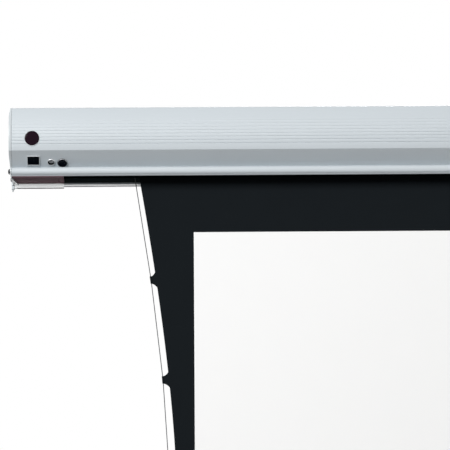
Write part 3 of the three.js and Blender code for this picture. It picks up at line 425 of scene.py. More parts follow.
def facet_frame(place):
    share = place.down / FACET_LENGTH
    y, z = BREAK_Y + FACET_RUN * share, -BREAK_DROP - FACET_DROP * share
    outward = (-FACET_DROP / FACET_LENGTH, -FACET_RUN / FACET_LENGTH)
    return surface_frame(place.from_end - HALF_CASE, y, z, outward)


WINDOW_OUT = polar((0, 0), 1, pi - asin(WINDOW.height / FRONT_RADIUS))
WINDOW_FRAME = surface_frame(
    WINDOW.from_end - HALF_CASE,
    FRONT_CENTRE[0] + FRONT_RADIUS * WINDOW_OUT[0],
    WINDOW.height,
    WINDOW_OUT,
)
GLAND_PLACE = Matrix.Translation((GLAND.from_end - HALF_CASE, -GLAND.inset, 0))
GLAND_FRAME = GLAND_PLACE @ Matrix.Rotation(pi / 2, 4, "X")


# Finishes, by name. A name that is also a slot's is that slot's finish.
FINISHES = {}

# A wave texture of scale one has this many bands to a metre
BAND_RATE = 10 / pi
LEAST_ROUGHNESS = 0.02
THREAD_WAVER = 0.6


def linear(*colour):
    """An sRGB colour from 0 to 255 as linear values."""
    def channel(value):
        share = value / 255
        return share / 12.92 if share <= 0.04045 else ((share + 0.055) / 1.055) ** 2.4
    return tuple(channel(value) for value in colour)


def feed(tree, socket, value):
    """Gives an input a plain value, or links it to another node's output."""
    if isinstance(value, bpy.types.NodeSocket):
        tree.links.new(value, socket)
    else:
        socket.default_value = value


def add_node(tree, kind, inputs, **settings):
    """Adds a shader node with its settings; its inputs go by name or number."""
    node = tree.nodes.new(f"ShaderNode{kind}")
    for name, value in settings.items():
        setattr(node, name, value)
    for key, value in inputs.items():
        feed(tree, node.inputs[key], value)
    return node


def mix_colours(tree, factor, dark, light):
    inputs = {"Factor": factor, 6: (*dark, 1), 7: (*light, 1)}
    return add_node(tree, "Mix", inputs, data_type="RGBA").outputs[2]


class Finish:
    """A principled material whose grain, spots and wear come from noise in object space."""

    def __init__(self, name, colour, roughness, metallic=0, **sockets):
        FINISHES[name] = self.material = bpy.data.materials.new(name)
        self.material.use_nodes = True
        self.tree = self.material.node_tree
        self.shader = self.tree.nodes["Principled BSDF"]
        self.place = add_node(self.tree, "TexCoord", {}).outputs["Object"]
        self.colour, self.roughness = colour, roughness
        self.set(Base_Color=(*colour, 1), Roughness=roughness, Metallic=metallic, **sockets)

    def set(self, **sockets):
        for name, value in sockets.items():
            feed(self.tree, self.shader.inputs[name.replace("_", " ")], value)
        return self

    def texture(self, kind, output, inputs, stretch=(1, 1, 1), **settings):
        place = add_node(self.tree, "Mapping", {"Scale": stretch, "Vector": self.place})
        inputs = {"Vector": place.outputs["Vector"], **inputs}
        return add_node(self.tree, kind, inputs, **settings).outputs[output]

    def noise(self, scale, detail, stretch=(1, 1, 1)):
        return self.texture("TexNoise", "Fac", {"Scale": scale, "Detail": detail}, stretch)

    def cells(self, scale):
        return self.texture("TexVoronoi", "Distance", {"Scale": scale})

    def threads(self, scale, direction):
        inputs = {"Scale": scale, "Distortion": THREAD_WAVER}
        return self.texture("TexWave", "Fac", inputs, wave_type="BANDS", bands_direction=direction)

    def mottle(self, value, amount):
        """Lets the colour get lighter and darker by a share."""
        dark, light = ([part * change for part in self.colour] for change in about(1, amount))
        return self.set(Base_Color=mix_colours(self.tree, value, dark, light))

    def wear(self, value, amount):
        """Lets the roughness vary by an amount."""
        low, high = about(self.roughness, amount)
        inputs = {"Value": value, "To Min": max(LEAST_ROUGHNESS, low), "To Max": min(1, high)}
        return self.set(Roughness=add_node(self.tree, "MapRange", inputs).outputs["Result"])

    def relief(self, value, depth, strength):
        """Adds a relief of a depth in millimetres over what is there already."""
        inputs = {"Distance": depth * METRES, "Strength": strength, "Height": value}
        for link in self.shader.inputs["Normal"].links:
            inputs["Normal"] = link.from_socket
        return self.set(Normal=add_node(self.tree, "Bump", inputs).outputs["Normal"])


def coated_metal(name, colour, roughness, **sockets):
    """Painted metal: long faint grain under a fine peel."""
    finish = Finish(name, colour, roughness, **sockets)
    grain = finish.noise(60, detail=3, stretch=(0.03, 12, 12))
    finish.mottle(finish.noise(7, detail=2), 0.012).wear(grain, 0.06)
    finish.relief(grain, 0.02, 0.5).relief(finish.noise(900, detail=2), 0.012, 0.4)


def moulded_plastic(name, colour, roughness, **sockets):
    finish = Finish(name, colour, roughness, **sockets)
    finish.mottle(finish.noise(25, detail=3), 0.05).wear(finish.noise(300, detail=3), 0.06)
    finish.relief(finish.cells(2600), 0.02, 0.5)


def polished_plastic(name, colour, roughness, **sockets):
    finish = Finish(name, colour, roughness, **sockets)
    finish.mottle(finish.noise(40, detail=3), 0.06).wear(finish.noise(140, detail=4), 0.04)
    finish.relief(finish.noise(260, detail=2), 0.01, 0.3)


def brushed_metal(name, colour, roughness, stretch, metallic=1, **sockets):
    finish = Finish(name, colour, roughness, metallic, **sockets)
    grain = finish.noise(500, detail=4, stretch=stretch)
    finish.mottle(finish.noise(30, detail=3), 0.06).wear(grain, 0.1).relief(grain, 0.015, 0.4)


def plated_metal(name, colour, roughness):
    finish = Finish(name, colour, roughness, metallic=1)
    finish.mottle(finish.cells(120), 0.08).wear(finish.noise(200, detail=4), 0.08)
    finish.relief(finish.noise(700, detail=3), 0.01, 0.3)


def coated_fabric(name, colour, roughness, thread, relief, cloud=0.05, **sockets):
    """Fine knit threads both ways under a coating."""
    finish = Finish(name, colour, roughness, **sockets)
    scale = 1 / (thread * METRES) / BAND_RATE
    finish.mottle(finish.noise(18, detail=4), cloud).wear(finish.noise(500, detail=3), 0.05)
    for direction in "XZ":
        finish.relief(finish.threads(scale, direction), relief, 0.4)
    finish.relief(finish.noise(1500, detail=2), relief, 0.3)


coated_metal("case_aluminium", (0.535, 0.58, 0.61), 0.42, Coat_Weight=0.15, Coat_Roughness=0.3)
moulded_plastic("cap_plastic", (0.54, 0.58, 0.6), 0.25)
moulded_plastic("black_plastic", (0.01, 0.011, 0.013), 0.42, Specular_IOR_Level=0.1)
# The service cover's dark maroon colour is painted shade of its downward face and a painted reflection of
# a maroon surround; its own reflection is almost nil
polished_plastic("service_cover", linear(128, 98, 106), 0.45, Specular_IOR_Level=0.002)
polished_plastic("infrared_plastic", (0.012, 0.004, 0.009), 0.1, Specular_IOR_Level=0.05)
polished_plastic("button_plastic", (0.002, 0.003, 0.006), 0.2, Specular_IOR_Level=0.04)
polished_plastic("badge_field", (0.0015, 0.003, 0.005), 0.25, Specular_IOR_Level=0.02)
brushed_metal("light_trim", (0.76, 0.775, 0.775), 0.3, (0.05, 8, 8), 0.85)
brushed_metal("black_sheet", (0.024, 0.033, 0.035), 0.6, (0.02, 6, 6), 0, Specular_IOR_Level=0)
brushed_metal("badge_trim", (0.6, 0.63, 0.65), 0.55, (0.05, 8, 8), 0.1)
brushed_metal("roller_aluminium", (0.6, 0.61, 0.62), 0.35, (0.02, 6, 6))
brushed_metal("motor_tube", (0.2, 0.21, 0.22), 0.42, (0.02, 6, 6), 0.6)
plated_metal("dark_screw", (0.03, 0.032, 0.035), 0.38)
plated_metal("chrome", (0.62, 0.63, 0.64), 0.5)
plated_metal("socket_lining", (0.5, 0.51, 0.52), 0.5)
plated_metal("steel", (0.35, 0.36, 0.37), 0.38)
coated_fabric("black_fabric", linear(24, 28, 31), 0.85, 0.8, 0.05, Specular_IOR_Level=0.02)
coated_fabric("slot_felt", (0.003, 0.004, 0.0045), 0.95, 0.5, 0.08, Specular_IOR_Level=0)
coated_fabric("white_fabric", (0.94, 0.94, 0.935), 0.85, 0.6, 0.02, cloud=0.006)
coated_fabric("cord", (0.085, 0.088, 0.092), 0.75, 0.5, 0.05, Specular_IOR_Level=0.2)


# Case shell
def nose_edge():
    """The drip gutter, the round nose and the fine line under it, down to the lip."""
    depth = NOSE.gutter_depth
    rim = NOSE_FRONT + NOSE.radius + NOSE.gutter_rim
    edge = [(FOOT_Y, FACET_END - depth), (rim + depth, FACET_END - depth), (rim, FACET_END)]
    bull = (NOSE_FRONT + NOSE.radius, FACET_END - NOSE.radius)
    edge += arc(bull, NOSE.radius, pi / 2, pi, ARC_STEPS.nose)
    end_angle = pi / 2 + radians(NOSE.turn)
    low_bull = (bull[0], bull[1] - NOSE.flat)
    edge += arc(low_bull, NOSE.radius, pi, end_angle, ARC_STEPS.under_nose)
    start = Vector(edge[-1])
    end = Vector((NOSE_FRONT + NOSE.lip_reach, CASE_BOTTOM + NOSE.lip_height))
    fall = (end - start).normalized()
    inward = Vector((-fall.y, fall.x))
    for along, deep in LINE_SECTION:
        place = start + fall * (NOSE.line_width * along) + inward * (NOSE.line_depth * deep)
        edge.append(tuple(place))
    return edge + [tuple(end), (NOSE_HEEL, CASE_BOTTOM)]


def front_edge(grooved):
    """From the top at the back, over the bowed front and the facet, to the bottom of the nose."""
    rear = (-REAR_CORNER_RADIUS, CASE_TOP - REAR_CORNER_RADIUS)
    edge = arc(rear, REAR_CORNER_RADIUS, 0, pi / 2, ARC_STEPS.rear)
    edge += arc(FILLET_CENTRE, CORNER_RADIUS, pi / 2, pi - FILLET_ANGLE, ARC_STEPS.corner)

    def on_bow(angle, inset=0):
        return polar(FRONT_CENTRE, FRONT_RADIUS - inset, pi - angle)

    first = (GROOVE.rise - BREAK_DROP) / FRONT_RADIUS
    step = GROOVE.pitch / FRONT_RADIUS
    half = GROOVE.width / FRONT_RADIUS / 2
    top = first + step * (GROOVE.count - 1)
    edge += [on_bow(angle) for angle in even(FILLET_ANGLE, top, BOW_STEPS)[1:-1]]
    for i in reversed(range(GROOVE.count)):
        angle = first + step * i
        depth = GROOVE.depth * (1 - GROOVE.fade * i)
        for across, inset in GROOVE_SECTION if grooved else [(0, 0)]:
            edge.append(on_bow(angle + half * across, depth * inset))
        if i > 0:
            edge.append(on_bow(angle - step / 2))
    edge.append(on_bow((first - half - BREAK_ANGLE) / 2))
    edge += [(BREAK_Y, -BREAK_DROP), (FOOT_Y, FACET_END)]
    if grooved:
        return edge + nose_edge()
    bull = (NOSE_FRONT + NOSE.radius, FACET_END - NOSE.radius)
    end_angle = pi / 2 + radians(NOSE.plain_turn)
    edge += arc(bull, NOSE.radius, pi / 2, end_angle, ARC_STEPS.plain_nose)
    return edge + [(NOSE_FRONT + NOSE.plain_lip, CASE_BOTTOM)]


def inner_edge():
    """From the nose up, round the inside of the case, and down to the lower flange."""
    direction = Vector((FACET_RUN, -FACET_DROP)).normalized()
    foot = Vector((FOOT_Y, FACET_END)) + Vector((-direction.y, direction.x)) * WALL
    foot += direction * ((NOSE_REAR - foot.x) / direction.x)
    ledge_top = LEDGE_BOTTOM + LEDGE.thickness
    bow_start, bow_end = pi + BREAK_ANGLE, pi - FILLET_ANGLE
    return [
        (NOSE_REAR, CASE_BOTTOM),
        *corners(NOSE_REAR, NOSE_REAR + LEDGE.depth, LEDGE_BOTTOM, ledge_top),
        tuple(foot),
        *arc(FRONT_CENTRE, FRONT_RADIUS - WALL, bow_start, bow_end, ARC_STEPS.inner_bow),
        *arc(FILLET_CENTRE, CORNER_RADIUS - WALL, bow_end, pi / 2, ARC_STEPS.inner_corner),
        (-WALL, CASE_TOP - WALL),
        *corners(-WALL, -RAIL.depth - WALL, RAIL_TOP + WALL, RAIL_SILL - WALL),
        *corners(-WALL, -WALL - LEDGE.depth, ledge_top, LEDGE_BOTTOM),
        (-WALL, FLANGE_BOTTOM),
    ]


def back_edge():
    """From the lower flange up the back, with the open hanging rail."""
    mouth_low, mouth_high = RAIL_SILL + RAIL.lip_width, RAIL_TOP - RAIL.lip_width
    return [
        (0, FLANGE_BOTTOM),
        (0, mouth_low),
        (-RAIL.lip, mouth_low),
        *corners(-RAIL.lip, -RAIL.depth, RAIL_SILL, RAIL_TOP),
        (-RAIL.lip, mouth_high),
        (0, mouth_high),
    ]


PORT_CENTRES = [
    (NOSE_FRONT + PORT.nose_inset, CASE_BOTTOM + NOSE.height * PORT.nose_share),
    FILLET_CENTRE,
    (-RAIL.depth - WALL - PORT.rear_inset, FILLET_HEIGHT),
    (-PORT.low_inset, CASE_BOTTOM + PORT.low_rise),
]


def case_shell():
    outline = rounded(back_edge() + front_edge(True) + inner_edge())
    shell = prism("case_body", outline, -SHELL_END, SHELL_END)
    inside = -WALL - OVERRUN
    holes = [
        (JACK.seat, inside, OVERRUN, FACETS.plain, facet_frame(JACK)),
        (BUSHING.barrel, inside, OVERRUN, FACETS.plain, facet_frame(BUSHING)),
        (WINDOW.radius, -WINDOW.seat, OVERRUN, FACETS.opening, WINDOW_FRAME),
        (WINDOW.bore, inside, OVERRUN, FACETS.opening, WINDOW_FRAME),
        (GLAND.shank, CASE_TOP + inside, CASE_TOP + OVERRUN, FACETS.plain, GLAND_FRAME),
    ]
    cutters = [
        turned("cutter", cylinder(radius + FIT, low, high), facets, matrix)
        for radius, low, high, facets, matrix in holes
    ]
    piece(combine(shell, cutters), "case_aluminium", "case_shell")
    bm = bmesh.new()
    for centre, radius in zip(PORT_CENTRES[1:], BOSS_RADII):
        add_turned(bm, cylinder(radius, *about(0, SHELL_END - FIT)), FACETS.boss, along_x(*centre))
    piece(bmesh_to_object("case_ports", bm), "case_aluminium")


# End caps
def cap_wedge(side, start, limit, inset, end, back):
    """Cuts the outer face of an end cap aslant, from a height to beyond its limit, where it is inset."""
    slope = inset / (limit - start)
    reach = HALF_CASE + OVERRUN
    outline = [
        (side * reach, start - OVERRUN / slope),
        (side * (HALF_CASE - (end - start) * slope), end),
        (side * reach, end),
    ]
    front = NOSE_FRONT - OVERRUN
    return skin("cutter", [[(x, y, z) for x, z in outline] for y in (back, front)])


def end_cap(side, tag):
    """A plate with a foot, a gusset and a lug, and with wells for its screws."""
    foot = CASE_BOTTOM - CAP.foot_drop
    heel = foot - CAP.heel_drop
    outline = [(0, heel), *front_edge(False), (NOSE_REAR, CASE_BOTTOM), (NOSE_REAR, foot)]
    outline += [(-CAP.heel_depth, foot), (-CAP.heel_depth, heel)]
    inner, edge = HALF_CASE - CAP.thickness, HALF_CASE - CAP.edge
    section = rounded(outline, EDGE_SOFTNESS * 2)
    cap = prism("cap" + tag, section, side * inner, side * HALF_CASE)
    soften(cap, CAP.edge, segments=5, least_turn=60)
    top, rear = SERVICE_BOTTOM - FIT, -LIP.front - FIT
    plan = [(edge, NOSE_REAR), (inner - GUSSET.narrow, NOSE_REAR)]
    plan += [(HALF_CASE - GUSSET.wide, rear), (edge, rear)]
    web = skin("web", [[(side * x, y, z) for x, y in plan] for z in (top - GUSSET.thickness, top)])
    lug = side * (HALF_CASE - LUG.inset)
    thickness = (lug, lug - side * LUG.thickness)
    ear = block("ear", thickness, (-LIP.front, COVER_REAR), (heel - LUG.drop, top))
    combine(cap, [soften(web, EDGE_SOFTNESS), soften(ear, EDGE_SOFTNESS)], "UNION")
    below, above = heel - OVERRUN, CASE_TOP + OVERRUN
    cutters = [
        cap_wedge(side, -CAP_SLANT.start, CASE_BOTTOM, CAP_SLANT.inset, below, -CAP_SLANT.heel),
        cap_wedge(side, CAP_SLANT.top_start, CASE_TOP, CAP_SLANT.top_inset, above, OVERRUN),
    ]
    for centre, sink in zip(PORT_CENTRES, SCREW_SINKS):
        well = cylinder(CAP_SCREW.radius + CAP_SCREW.gap, HALF_CASE - sink, HALF_CASE + OVERRUN)
        cutters.append(turned("cutter", well, FACETS.plain, along_x(*centre, side)))
    soften(combine(cap, cutters), EDGE_SOFTNESS / 2, segments=2, least_turn=50)
    piece(cap, "cap_plastic", "end_cap" + tag)


def cap_screws(side, tag):
    """Domed screws with a cross recess, each turned in by its own amount."""
    radius, height = CAP_SCREW.radius, CAP_SCREW.height
    for i, (centre, sink) in enumerate(zip(PORT_CENTRES, SCREW_SINKS)):
        seat = HALF_CASE - sink + FIT
        tip = seat - CAP_SCREW.shank_depth
        dome = [(0, tip), (CAP_SCREW.shank, tip), (CAP_SCREW.shank, seat)]
        dome += [(radius * CAP_SCREW.foot_share, seat), (radius, seat + height * CAP_SCREW.edge_share)]
        for angle in even(0, pi / 2, CAP_SCREW.steps)[1:-1]:
            rise = 1 - CAP_SCREW.dome_share * (1 - sin(angle))
            dome.append((radius * cos(angle), seat + height * rise))
        dome.append((0, seat + height))
        matrix = along_x(*centre, side)
        screw = turned(f"screw{tag}_{i + 1}", dome, FACETS.screw, matrix)
        matrix @= Matrix.Rotation(radians(CAP_SCREW.first_turn + CAP_SCREW.next_turn * i), 4, "Y")
        depth = (seat + height * CAP_SCREW.recess_share, seat + height + OVERRUN)
        arm, width = about(0, CAP_SCREW.recess_radius), about(0, CAP_SCREW.recess_width / 2)
        cross = [block("cutter", x, depth, z, matrix) for x, z in ((arm, width), (width, arm))]
        piece(combine(screw, cross), "dark_screw", f"cap_screw{tag}_{i + 1}")


# Covers under the case
def slant_ends(obj):
    """Slants the ends where the covers meet, so that the service cover is shorter beside the wall."""
    reach = -WALL - NOSE_REAR
    for vertex in obj.data.vertices:
        x, y = vertex.co.x / METRES, vertex.co.y / METRES
        if abs(abs(x) - SERVICE_END) < SERVICE.slant_zone:
            share = max(0, (y - NOSE_REAR) / reach)
            vertex.co.x += copysign(SERVICE.slant * share * METRES, x)


def service_cover(side, tag):
    """A plate under the case with a slot for its latch."""
    ends = (side * SHELL_END, side * SERVICE_END)
    depth, height = (NOSE_REAR + FIT, COVER_REAR), (SERVICE_BOTTOM, COVER_TOP)
    plate = block("cover_panel" + tag, ends, depth, height)
    slant_ends(soften(plate, SERVICE.edge, segments=4))
    slot = block(
        "cutter",
        about(side * (SERVICE_END + SERVICE.latch_from_end), SERVICE.latch_width / 2),
        about((NOSE_REAR - WALL) / 2, SERVICE.latch_length / 2),
        (SERVICE_BOTTOM - OVERRUN, SERVICE_BOTTOM + SERVICE.thickness * SERVICE.latch_share),
    )
    # The service_cover finish is painted shade and a painted maroon reflection in the plate's colour
    piece(combine(plate, [slot]), "service_cover", "service_cover" + tag)


def cover_lip(side, tag):
    """The leaning and flared lip behind a service cover."""
    top, front, thickness = SERVICE_BOTTOM - FIT, -LIP.front, LIP.thickness
    foot, turn = top - LIP.drop, front + LIP.lean
    outline = [
        (COVER_REAR, top),
        (front, top),
        (turn, foot + LIP.flare_height),
        (turn - LIP.flare, foot),
        (turn - LIP.flare + thickness, foot),
        (turn + thickness, foot + LIP.flare_height),
        (front + thickness, top - thickness),
        (COVER_REAR, top - thickness),
    ]
    lip = prism("lip" + tag, rounded(outline), side * LIP_START, side * SHELL_END)
    piece(lip, "light_trim", "cover_lip" + tag)


def bottom_cover():
    """The sheet between the service covers, with a hem beside the slot."""
    front = FABRIC_BACK + SLOT_BEHIND
    bottom = COVER_TOP - BOTTOM_COVER.thickness
    hem = (front + BOTTOM_COVER.thickness, bottom + BOTTOM_COVER.hem)
    outline = [(COVER_REAR, COVER_TOP), (hem[0], COVER_TOP), hem, (front, hem[1])]
    outline += [(front, bottom), (COVER_REAR, bottom)]
    cover = prism("underside_sheet", rounded(outline), *about(0, SERVICE_END - FIT))
    slant_ends(cover)
    piece(cover, "black_sheet", "bottom_cover")


def under_nose(name, near, far, slot, finish=None):
    """A thin skin under the nose, from its lip back to the front wall of the slot."""
    thickness, start = NOSE_SKIN.thickness, NOSE.lip_height * NOSE_SKIN.start_share
    corner, seat = thickness * NOSE_SKIN.corner_share, NOSE_REAR + FIT * NOSE_SKIN.seat_share
    outline = [
        (NOSE_HEEL, CASE_BOTTOM),
        (NOSE_HEEL - start, CASE_BOTTOM + start),
        (NOSE_HEEL - start - thickness, CASE_BOTTOM + start - corner),
        (NOSE_HEEL - corner, CASE_BOTTOM - thickness),
        (seat, CASE_BOTTOM - thickness),
        (seat, SERVICE_BOTTOM),
        (NOSE_REAR, SERVICE_BOTTOM),
        (NOSE_REAR, CASE_BOTTOM),
    ]
    piece(prism(name, outline, near, far), slot, finish=finish)


def flange_strip():
    """A light strip along the lower flange, between the lips of the service covers."""
    front = -WALL - FLANGE_STRIP.thickness
    top = CASE_BOTTOM - FLANGE_STRIP.drop
    outline = [
        (-WALL, top),
        (front - FLANGE_STRIP.lean, top),
        (front, FLANGE_BOTTOM + FLANGE_STRIP.flare_height),
        (front - FLANGE_STRIP.flare, FLANGE_BOTTOM),
        (-WALL, FLANGE_BOTTOM),
    ]
    strip = prism("flange_strip", rounded(outline), *about(0, LIP_START - FIT))
    piece(strip, "light_trim")


# Pieces on the front
def infrared_window():
    """A domed dark window in its seat, with a bright ring round it."""
    radius, bevel, rim = WINDOW.radius, WINDOW.bevel, WINDOW.rim - WINDOW.seat
    base = FIT - WINDOW.seat
    ease = bevel * WINDOW.bevel_share
    profile = [(0, base), (radius, base), (radius, rim - bevel), (radius - ease, rim - ease)]
    profile.append((radius - bevel, rim))
    for share in even(1, 0, WINDOW.steps)[1:]:
        across = (radius - bevel) * share
        profile.append((across, rim + WINDOW.dome * (1 - (across / radius) ** 2)))
    lens = turned("window_lens", profile, FACETS.window, WINDOW_FRAME)
    piece(lens, "infrared_plastic", "ir_window")
    inner, foot = radius + FIT, -WINDOW.seat / 2
    ring = [(inner + WINDOW.ring_width * x, WINDOW.ring_proud * y) for x, y in RING_SECTION]
    ring = [(inner, foot), *ring, (inner, foot)]
    piece(turned("window_trim", ring, FACETS.window, WINDOW_FRAME), "badge_trim")


def badge():
    """A bright frame round a bare dark plate."""
    matrix = facet_frame(BADGE)

    def plate(name, inset, low, high):
        x, z = about(0, BADGE.width / 2 - inset), about(0, BADGE.height / 2 - inset)
        return block(name, x, (FIT + low, FIT + high), z, matrix)

    rim = soften(plate("badge_rim", 0, 0, BADGE.thickness), BADGE.bevel, segments=5)
    pocket = plate("cutter", BADGE.border, BADGE.floor, BADGE.thickness + OVERRUN)
    piece(combine(rim, [pocket]), "badge_trim", "badge_frame")
    panel = plate("badge_panel", BADGE.border + FIT, BADGE.floor, BADGE.floor + BADGE.field)
    piece(soften(panel, BADGE.field / 3), "badge_field", "badge_plate")


def jack_socket():
    """A bright body with a stepped mouth, a black sleeve in it, and a disc and a pin at its floor."""
    matrix = facet_frame(JACK)
    cup, mouth, seat, radius, rim = JACK.cup, JACK.mouth, JACK.seat, JACK.radius, JACK.rim
    floor, step, end, lining = -JACK.cup_depth, -JACK.step, -JACK.depth, JACK.lining
    disc = floor + JACK.disc
    body = [(0, end), (JACK.barrel, end), (JACK.barrel, -WALL), (seat, -WALL), (seat, FIT), (radius, FIT)]
    body += [(radius - across, FIT + rim * share) for across, share in JACK_OUTER]
    body += [(mouth + across, FIT + rim * share) for across, share in JACK_INNER]
    body += [(mouth, step), (cup, step), (cup, floor), (0, floor)]
    sleeve = [(cup - lining, disc), (cup, disc), (cup, step), (mouth, step)]
    sleeve += [(mouth, FIT + rim * JACK.lining_top), (mouth - lining, FIT + rim * JACK.lining_lip)]
    sleeve += [(mouth - lining, step + lining), (cup - lining, step + lining), sleeve[0]]
    pin, tip = JACK.pin, -JACK.pin_depth
    stub = [(0, disc), (pin, disc), (pin, tip - pin)]
    stub += [(pin * JACK.pin_tip, tip - pin * JACK.pin_round), (0, tip)]
    plain = cylinder(cup, floor, disc)
    for name, profile, facets, slot, finish, node in (
        ("socket_body", body, FACETS.opening, "chrome", None, "jack_socket"),
        ("socket_sleeve", sleeve, FACETS.opening, "black_plastic", None, None),
        ("socket_insulator", plain, FACETS.plain, "chrome", "socket_lining", None),
        ("socket_pin", stub, FACETS.small, "steel", None, None),
    ):
        piece(turned(name, profile, facets, matrix), slot, node, finish=finish)


def push_button():
    """A bushing with a bright band, and the dished button that is pressed into it."""
    matrix = facet_frame(BUSHING)
    radius, barrel, bore = BUSHING.radius, BUSHING.barrel, BUSHING.barrel - BUSHING.wall
    face, end = FIT + BUSHING.rim, -BUSHING.depth
    floor = BUTTON.floor - BUSHING.depth
    housing = [(0, end), (barrel, end), (barrel, FIT), (radius, FIT)]
    housing += [(radius - across, face - below) for across, below in BUSHING_OUTER]
    housing += [(bore + across, face - below) for across, below in BUSHING_INNER]
    housing += [(bore, floor), (0, floor)]
    inner = radius - BUSHING.band_inset
    band = [(inner + BUSHING.band_width * share, face + over) for share, over in BAND_SECTION]
    crown, edge = bore - FIT, BUTTON.edge
    start, top = floor + FIT + BUTTON.travel, face + BUTTON.proud
    plunger = [(0, start), (crown, start)]
    plunger += arc((crown - edge, top - edge), edge, 0, pi / 2, BUTTON.edge_steps)
    for share in DISH_SHARES:
        plunger.append((crown * share, top - BUTTON.dish * (1 - (share / BUTTON.dish_rim) ** 2)))
    for name, profile, body, slot, node in (
        ("button_housing", housing, "case", "black_plastic", "button_bushing"),
        ("button_trim", band, "case", "steel", None),
        ("button_cap", plunger, "button", "button_plastic", "push_button"),
    ):
        piece(turned(name, profile, FACETS.button, matrix), slot, node, body)


def power_gland():
    """A collar on top of the case, with a domed nut on it and an open bore."""
    base, bore, shank, radius = CASE_TOP + FIT, GLAND.bore, GLAND.shank, GLAND.radius
    edge, end = GLAND.edge, CASE_TOP - GLAND.depth
    top, collar = base + GLAND.height, base + GLAND.collar
    shell = [(bore, end), (shank, end), (shank, base), (radius - GLAND.relief, base)]
    shell += [(radius, base + edge), (radius, collar - edge), (radius - edge, collar)]
    shell += [(shank + GLAND.nut, collar + GLAND.nut_foot)]
    shell += [(shank + GLAND.nut - GLAND.nut_taper, top - GLAND.dome), (shank, top - GLAND.dome_edge)]
    shell += [(shank - GLAND.nut, top), (bore + GLAND.relief, top), (bore, top - edge), (bore, end)]
    gland = turned("gland_body", shell, FACETS.plain, GLAND_FRAME)
    piece(gland, "black_plastic", "power_gland")


# Screen surface
def edge_at(height, line):
    """Half the width at a height, of the fabric or between the cords."""
    sweep = line.sweep * abs((height - WAIST) / SWEEP_REACH) ** SWEEP_POWER
    return HALF_VIEW + line.margin + sweep


TAB_HEIGHTS = [WAIST + ((TAB.count - 1) / 2 - i) * TAB.pitch for i in range(TAB.count)]
CORD_STOPS = [(edge_at(height, CORD), height) for height in (ROLLER.height, *TAB_HEIGHTS, CHAMBER_TOP)]


def tab_rows():
    """Heights and half widths of the fabric's edge from top to bottom, with its tabs."""
    rows = []

    def plain(start, end):
        levels = even(start, end, max(1, round((start - end) / FABRIC.row)))[:-1]
        rows.extend((level, edge_at(level, FABRIC)) for level in levels)

    def hollow(root, tip):
        """The corner that a tab's side bends round, between its root and its tip."""
        share = TAB.curve_share
        height = tip.y + (root.y - tip.y) * (1 - 2 * share)
        return Vector((root.x + (tip.x - root.x) * share, height))

    def curve(start, corner, end):
        for share in even(0, 1, TAB.steps)[:-1]:
            place = bend(start, corner, end, share)
            rows.append((place.y, place.x))

    start = ROLLER.height
    for middle, (reach, _) in zip(TAB_HEIGHTS, CORD_STOPS[1:]):
        low, high = about(middle, TAB.tip / 2)
        levels = (high + TAB.above, low - TAB.below)
        roots = [Vector((edge_at(level, FABRIC), level)) for level in levels]
        tips = [Vector((reach, level)) for level in (high, low)]
        plain(start, levels[0])
        curve(roots[0], hollow(roots[0], tips[0]), tips[0])
        rows += [(level, reach) for level in even(high, low, TAB.tip_steps)[:-1]]
        curve(tips[1], hollow(roots[1], tips[1]), roots[1])
        start = levels[1]
    plain(start, CHAMBER_TOP)
    return rows + [(CHAMBER_TOP, edge_at(CHAMBER_TOP, FABRIC))]


def sheet_mesh(name, rows, front, back):
    """A thin closed sheet from rows of (height, half width)."""
    shares = even(-1, 1, FABRIC.columns)
    bm = bmesh.new()
    near, far = [
        [[bm.verts.new((share * half, y, height)) for share in shares] for height, half in rows]
        for y in (front, back)
    ]

    def join(first, second):
        for i in range(len(first) - 1):
            bm.faces.new((first[i], first[i + 1], second[i + 1], second[i]))

    for grid in (near, far):
        for upper, lower in zip(grid, grid[1:]):
            join(upper, lower)
    for end in (0, -1):
        join(near[end], far[end])
        join([row[end] for row in near], [row[end] for row in far])
    return bmesh_to_object(name, bm)


def rolls_up(obj):
    """Gives what hangs from the roller, or just clear of it, a mesh of its own."""
    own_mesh(obj)


def screen_fabric():
    """The black fabric, and the white viewing surface on its front."""
    rows = tab_rows()
    cloth = sheet_mesh("black_cloth", rows, FABRIC_FRONT, FABRIC_BACK)
    piece(cloth, "black_fabric", "screen_fabric")
    rolls_up(cloth)
    rows = [(level, HALF_VIEW) for level in even(VIEW_TOP, VIEW_BOTTOM, VIEW.rows)]
    white = sheet_mesh("white_cloth", rows, FABRIC_FRONT - VIEW.thickness, FABRIC_FRONT)
    piece(white, "white_fabric", "viewing_surface")
    rolls_up(white)


def tab_sleeves(side, tag):
    """The tab ends are folded round the cord."""
    inner = CORD.radius + SLEEVE.clearance
    outer, half = inner + SLEEVE.thickness, TAB.tip / 2
    edge, end = outer - SLEEVE.edge, half - SLEEVE.edge_length
    profile = [(inner, -half), (edge, -half), (outer, -end), (outer, end), (edge, half), (inner, half)]
    bm = bmesh.new()
    for above, stop, below in zip(CORD_STOPS, CORD_STOPS[1:], CORD_STOPS[2:]):
        slope = (above[0] - below[0]) / (above[1] - below[1])
        matrix = (
            Matrix.Translation((side * stop[0], FABRIC_MIDDLE, stop[1]))
            @ Matrix.Rotation(side * atan(slope), 4, "Y")
            @ Matrix.Rotation(pi / 2, 4, "X")
            @ Matrix.Diagonal((1, 1, TAB.flatness, 1))
        )
        add_turned(bm, [*profile, profile[0]], FACETS.small, matrix)
    sleeves = bmesh_to_object("tab_sleeves" + tag, bm)
    piece(sleeves, "black_fabric")
    rolls_up(sleeves)


def cord_path(side, spacing):
    """The cord's middle line, straight between its stops, in millimetres."""
    points = []
    for start, end in zip(CORD_STOPS, CORD_STOPS[1:]):
        steps = max(1, round((start[1] - end[1]) / spacing))
        points += list(zip(even(start[0], end[0], steps), even(start[1], end[1], steps)))[:-1]
    return [Vector((side * x, FABRIC_MIDDLE, z)) for x, z in [*points, CORD_STOPS[-1]]]


